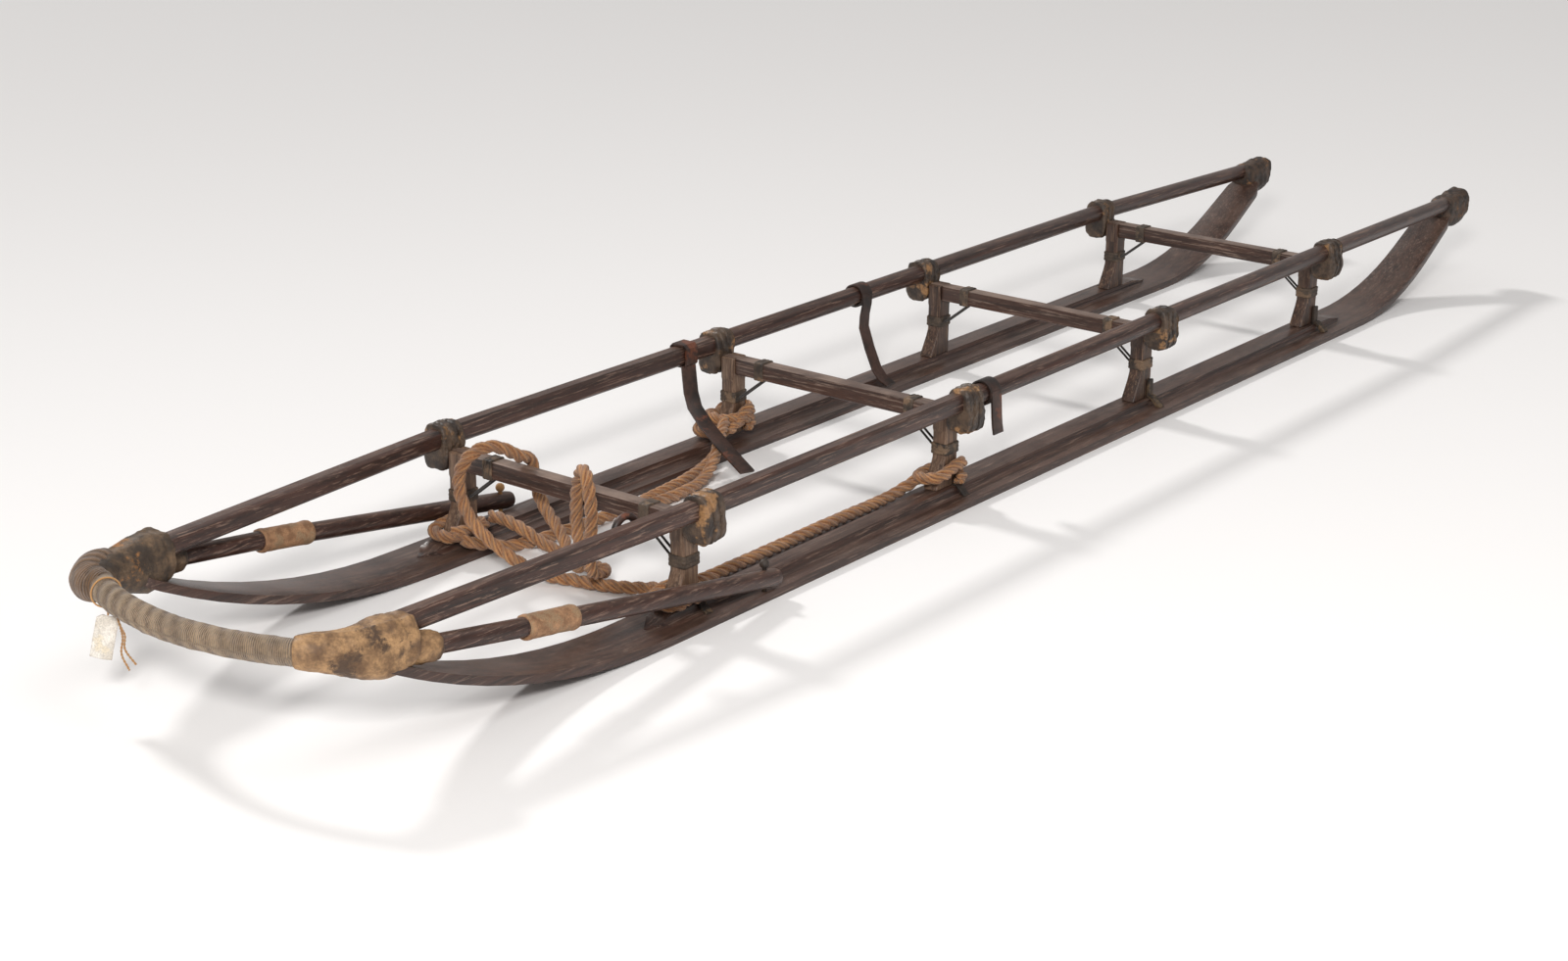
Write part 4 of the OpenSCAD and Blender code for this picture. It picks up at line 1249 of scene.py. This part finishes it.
        piece = wrapped_form(
            node + "_hide", path, np.cross(tangent, up), up, outline,
            end_round=0.02, end_share=0.93, crumple=(0.0004, 0.008), seed=17 + side.value,
        )
        self.set_in(piece, node, look)

    def bands(self, node: str, upright: bool) -> None:
        """Flat turns of hide strip round every stanchion or crossbar, as one piece."""
        parts = []
        for index in range(4):
            for side in Side:
                if upright:
                    centre = np.array([station_x(index), POST_Y * side.value, 0.075])
                    way, first, half = np.array([0.0, 0.0, 1.0]), np.array([1.0, 0.0, 0.0]), (0.0152, 0.0127)
                else:
                    centre = np.array([station_x(index), 0.127 * side.value, 0.1208])
                    way, first, half = np.array([0.0, 1.0, 0.0]), np.array([1.0, 0.0, 0.0]), (0.0126, 0.0131)
                second = np.cross(way, first)
                path = centre + np.linspace(-0.0078, 0.0078, 20)[:, None] * way

                def outline(along: Array, angle: Array, half: tuple = half, index: int = index) -> Array:
                    """A snug rounded rectangle with three narrow turns."""
                    turns = 0.0005 * np.abs(np.sin(3 * np.pi * along + 0.15 * np.sin(angle + index)))
                    return superellipse(angle, half[0], half[1], 9.0) + turns

                parts.append(wrapped_form(
                    f"{node}_{index}_{side.word}", path, first, second, outline, sides=72,
                    end_round=0.06, end_share=0.95, crumple=(0.0004, 0.006), seed=index * 5 + side.value,
                ))
        self.set_in(joined(parts, node + "_hide"), node, BAND_HIDE)

    def knot(self, side: Side) -> None:
        """The thong through a strut's rear end, and its flattened knot on top."""
        node = f"strut_thong_{side.word}"
        piece = self.eased_copy(node, node + "_soft", 0.0006)
        self.set_in(piece, node, DARK_HIDE if side is Side.LEFT else TWINE)


@dataclass
class Stays(Maker):
    """Twisted tarred stays in the corners under the crossbars."""

    def make(self) -> None:
        """Dresses the stays."""
        self.set_in(self.eased_copy("stay_wires", "stay_cords", 0.0003, 80.0), "stay_wires", TARRED)


@dataclass
class Straps(Maker):
    """Leather straps on the rails and the ring beside the left one."""

    def make(self) -> None:
        """Eases and dresses each strap."""
        for node in ("strap_right_front", "strap_right_rear", "strap_left_rear", "leather_ring"):
            self.set_in(self.eased_copy(node, node + "_leather", 0.0008), node, STRAP_LEATHER)


@dataclass
class Tag(Maker):
    """A blank card tag on twine under the hoop."""

    def make(self) -> None:
        """A leaning, slightly curled card, its loop of twine and two loose ends of twine."""
        low, high = (np.array(corner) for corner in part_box("tag_card"))
        middle = (low + high) / 2
        width, height, thick = 0.024, 0.050, 0.0008
        u, v = np.meshgrid(np.linspace(-0.5, 0.5, 13), np.linspace(0.0, 1.0, 25))
        yaw, lean = math.radians(-48.0), math.radians(13.0)
        flat = u * width * (1 - 0.5 * np.clip(0.08 - v, 0, 1) / 0.08)
        drop = v * height
        across = np.array([math.cos(yaw), math.sin(yaw), 0.0])
        face = np.array([-math.sin(yaw), math.cos(yaw), 0.0])
        side_way = flat * math.cos(lean) - drop * math.sin(lean)
        fall = flat * math.sin(lean) + drop * math.cos(lean)
        top = np.array([middle[0], middle[1], high[2]])
        curl = 0.003 * np.sin(v * 2.4) + 0.0012 * np.cos(u * 5)
        sheet = (
            top + side_way[..., None] * -across + fall[..., None] * np.array([0.0, 0.0, -1.0])
            + curl[..., None] * face
        )
        both = np.concatenate([sheet.reshape(-1, 3), (sheet + thick * face).reshape(-1, 3)])
        rows, columns = u.shape
        number = np.arange(rows * columns).reshape(rows, columns)
        quads = np.stack([number[:-1, :-1], number[:-1, 1:], number[1:, 1:], number[1:, :-1]], -1).reshape(
            -1, 4
        )
        ring = np.concatenate([number[0], number[1:, -1], number[-1, -2::-1], number[-2:0:-1, 0]])
        back = quads[:, ::-1] + rows * columns
        rim = np.stack(
            [ring, np.roll(ring, -1), np.roll(ring, -1) + rows * columns, ring + rows * columns], -1
        )
        card = mesh_piece("tag_card_blank", both, quads.tolist() + back.tolist() + rim.tolist())
        face_outwards(card)
        self.set_in(card, "tag_card", CARD)
        self.set_in(self.eased_copy("tag_twine", "tag_twine_loop", 0.0001), "tag_twine", TWINE)
        for number, (reach, drop) in enumerate(((0.026, 0.052), (0.014, 0.062))):
            knot = top + np.array([-0.006, 0.006, 0.001])
            line = [
                knot, knot + np.array([0.002, 0.006 + reach * 0.1, -0.012]),
                knot + np.array([-0.002, reach * 0.35, -drop * 0.45]),
                knot + np.array([0.003, reach * 0.55, -drop * 0.7]), knot + np.array([-0.001, reach, -drop]),
            ]
            path = smooth_path([tuple(point) for point in line], 0.0006)
            end = laid_rope(f"tag_twine_end_{number}", path, 0.0026, 0.008, 2, 8)
            self.wardrobe.dress(end, TWINE)
            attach(end, self.body_of("tag_twine"))


@dataclass
class Studio:
    """Pale floor, soft lights and the camera."""

    eye: Point = (3.0186, 2.0867, 1.2081)
    yaw: float = -2.485288
    pitch: float = -0.334850
    roll: float = 0.011058
    lens: float = 62.01

    def camera(self) -> None:
        """The camera: looks along yaw and pitch, then rolls about its own line of sight."""
        data = bpy.data.cameras.new("view")
        data.lens = self.lens
        data.sensor_width = 36.0
        data.clip_start, data.clip_end = 0.05, 60.0
        camera = bpy.data.objects.new("view", data)
        bpy.context.scene.collection.objects.link(camera)
        ahead = np.array(
            [
                math.cos(self.pitch) * math.cos(self.yaw), math.cos(self.pitch) * math.sin(self.yaw),
                math.sin(self.pitch)
            ]
        )
        right = unit_rows(np.cross(ahead, [0.0, 0.0, 1.0]))
        up = np.cross(right, ahead)
        c, s = math.cos(self.roll), math.sin(self.roll)
        columns = np.stack([c * right + s * up, -s * right + c * up, -ahead], axis=1)
        matrix = np.eye(4)
        matrix[:3, :3] = columns
        matrix[:3, 3] = self.eye
        camera.matrix_world = Matrix(matrix.tolist())
        bpy.context.scene.camera = camera

    def area(self, name: str, place: Point, target: Point, size: float, power: float, colour: Colour) -> None:
        """A square soft light at a place, aimed at a target."""
        data = bpy.data.lights.new(name, "AREA")
        data.size = size
        data.energy = power
        data.color = colour
        lamp = bpy.data.objects.new(name, data)
        bpy.context.scene.collection.objects.link(lamp)
        lamp.location = place
        lamp.rotation_mode = "QUATERNION"
        lamp.rotation_quaternion = (Vector(target) - Vector(place)).to_track_quat("-Z", "Y")

    def sun(self, name: str, travel: Point, spread: float, power: float, colour: Colour) -> None:
        """A distant soft light whose rays travel one way; spread is its size in degrees."""
        data = bpy.data.lights.new(name, "SUN")
        data.angle = math.radians(spread)
        data.energy = power
        data.color = colour
        lamp = bpy.data.objects.new(name, data)
        bpy.context.scene.collection.objects.link(lamp)
        lamp.rotation_mode = "QUATERNION"
        lamp.rotation_quaternion = Vector(travel).to_track_quat("-Z", "Y")

    def floor(self) -> None:
        """A wide pale sheet of backdrop paper under the sledge."""
        half = 16.0
        mesh = bpy.data.meshes.new("floor")
        mesh.from_pydata(
            [(-half, -half, 0), (half, -half, 0), (half, half, 0), (-half, half, 0)], [], [(0, 1, 2, 3)]
        )
        floor = bpy.data.objects.new("floor", mesh)
        bpy.context.scene.collection.objects.link(floor)
        material = bpy.data.materials.new("backdrop_paper")
        material.use_nodes = True
        work = Nodes(material.node_tree)
        shader = material.node_tree.nodes["Principled BSDF"]
        shader.inputs["Roughness"].default_value = 0.55
        shader.inputs["Specular IOR Level"].default_value = 0.3
        place = work.add("ShaderNodeTexCoord")
        tint = work.noise(place.outputs["Object"], 0.35, 1.0)
        work.join(work.mix(tint, (0.90, 0.885, 0.875), (0.93, 0.92, 0.915)), shader.inputs["Base Color"])
        mesh.materials.append(material)

    def lights(self) -> None:
        """A key from behind the right side, a top light and the room's pale fill."""
        self.sun("key", (0.22, 1.0, -0.74), 7.0, 1.45, (1.0, 0.985, 0.97))
        self.area("front", (3.9, 2.2, 2.5), (1.0, 0.0, 0.05), 0.7, 130.0, (1.0, 0.98, 0.96))
        self.area("top", (0.2, 1.4, 3.4), (0.0, 0.0, 0.0), 2.2, 26.0, (1.0, 0.99, 0.985))
        world = bpy.data.worlds.new("room")
        bpy.context.scene.world = world
        world.use_nodes = True
        back = world.node_tree.nodes["Background"]
        back.inputs["Color"].default_value = (1.0, 0.985, 0.975, 1.0)
        back.inputs["Strength"].default_value = 0.42

    def make(self) -> None:
        """Camera, floor and lights."""
        bpy.context.scene.view_settings.view_transform = "Standard"
        self.camera()
        self.floor()
        self.lights()


def main() -> None:
    """Loads the frame and builds the sledge's parts in order."""
    logging.basicConfig(level=logging.INFO, format="%(name)s: %(message)s")
    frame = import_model()
    Studio().make()
    wardrobe = Wardrobe()
    for part in (Ropes, Timber, BowHoop, Hides, Stays, Straps, Tag):
        part(frame, wardrobe).make()


if __name__ == "__main__":
    main()
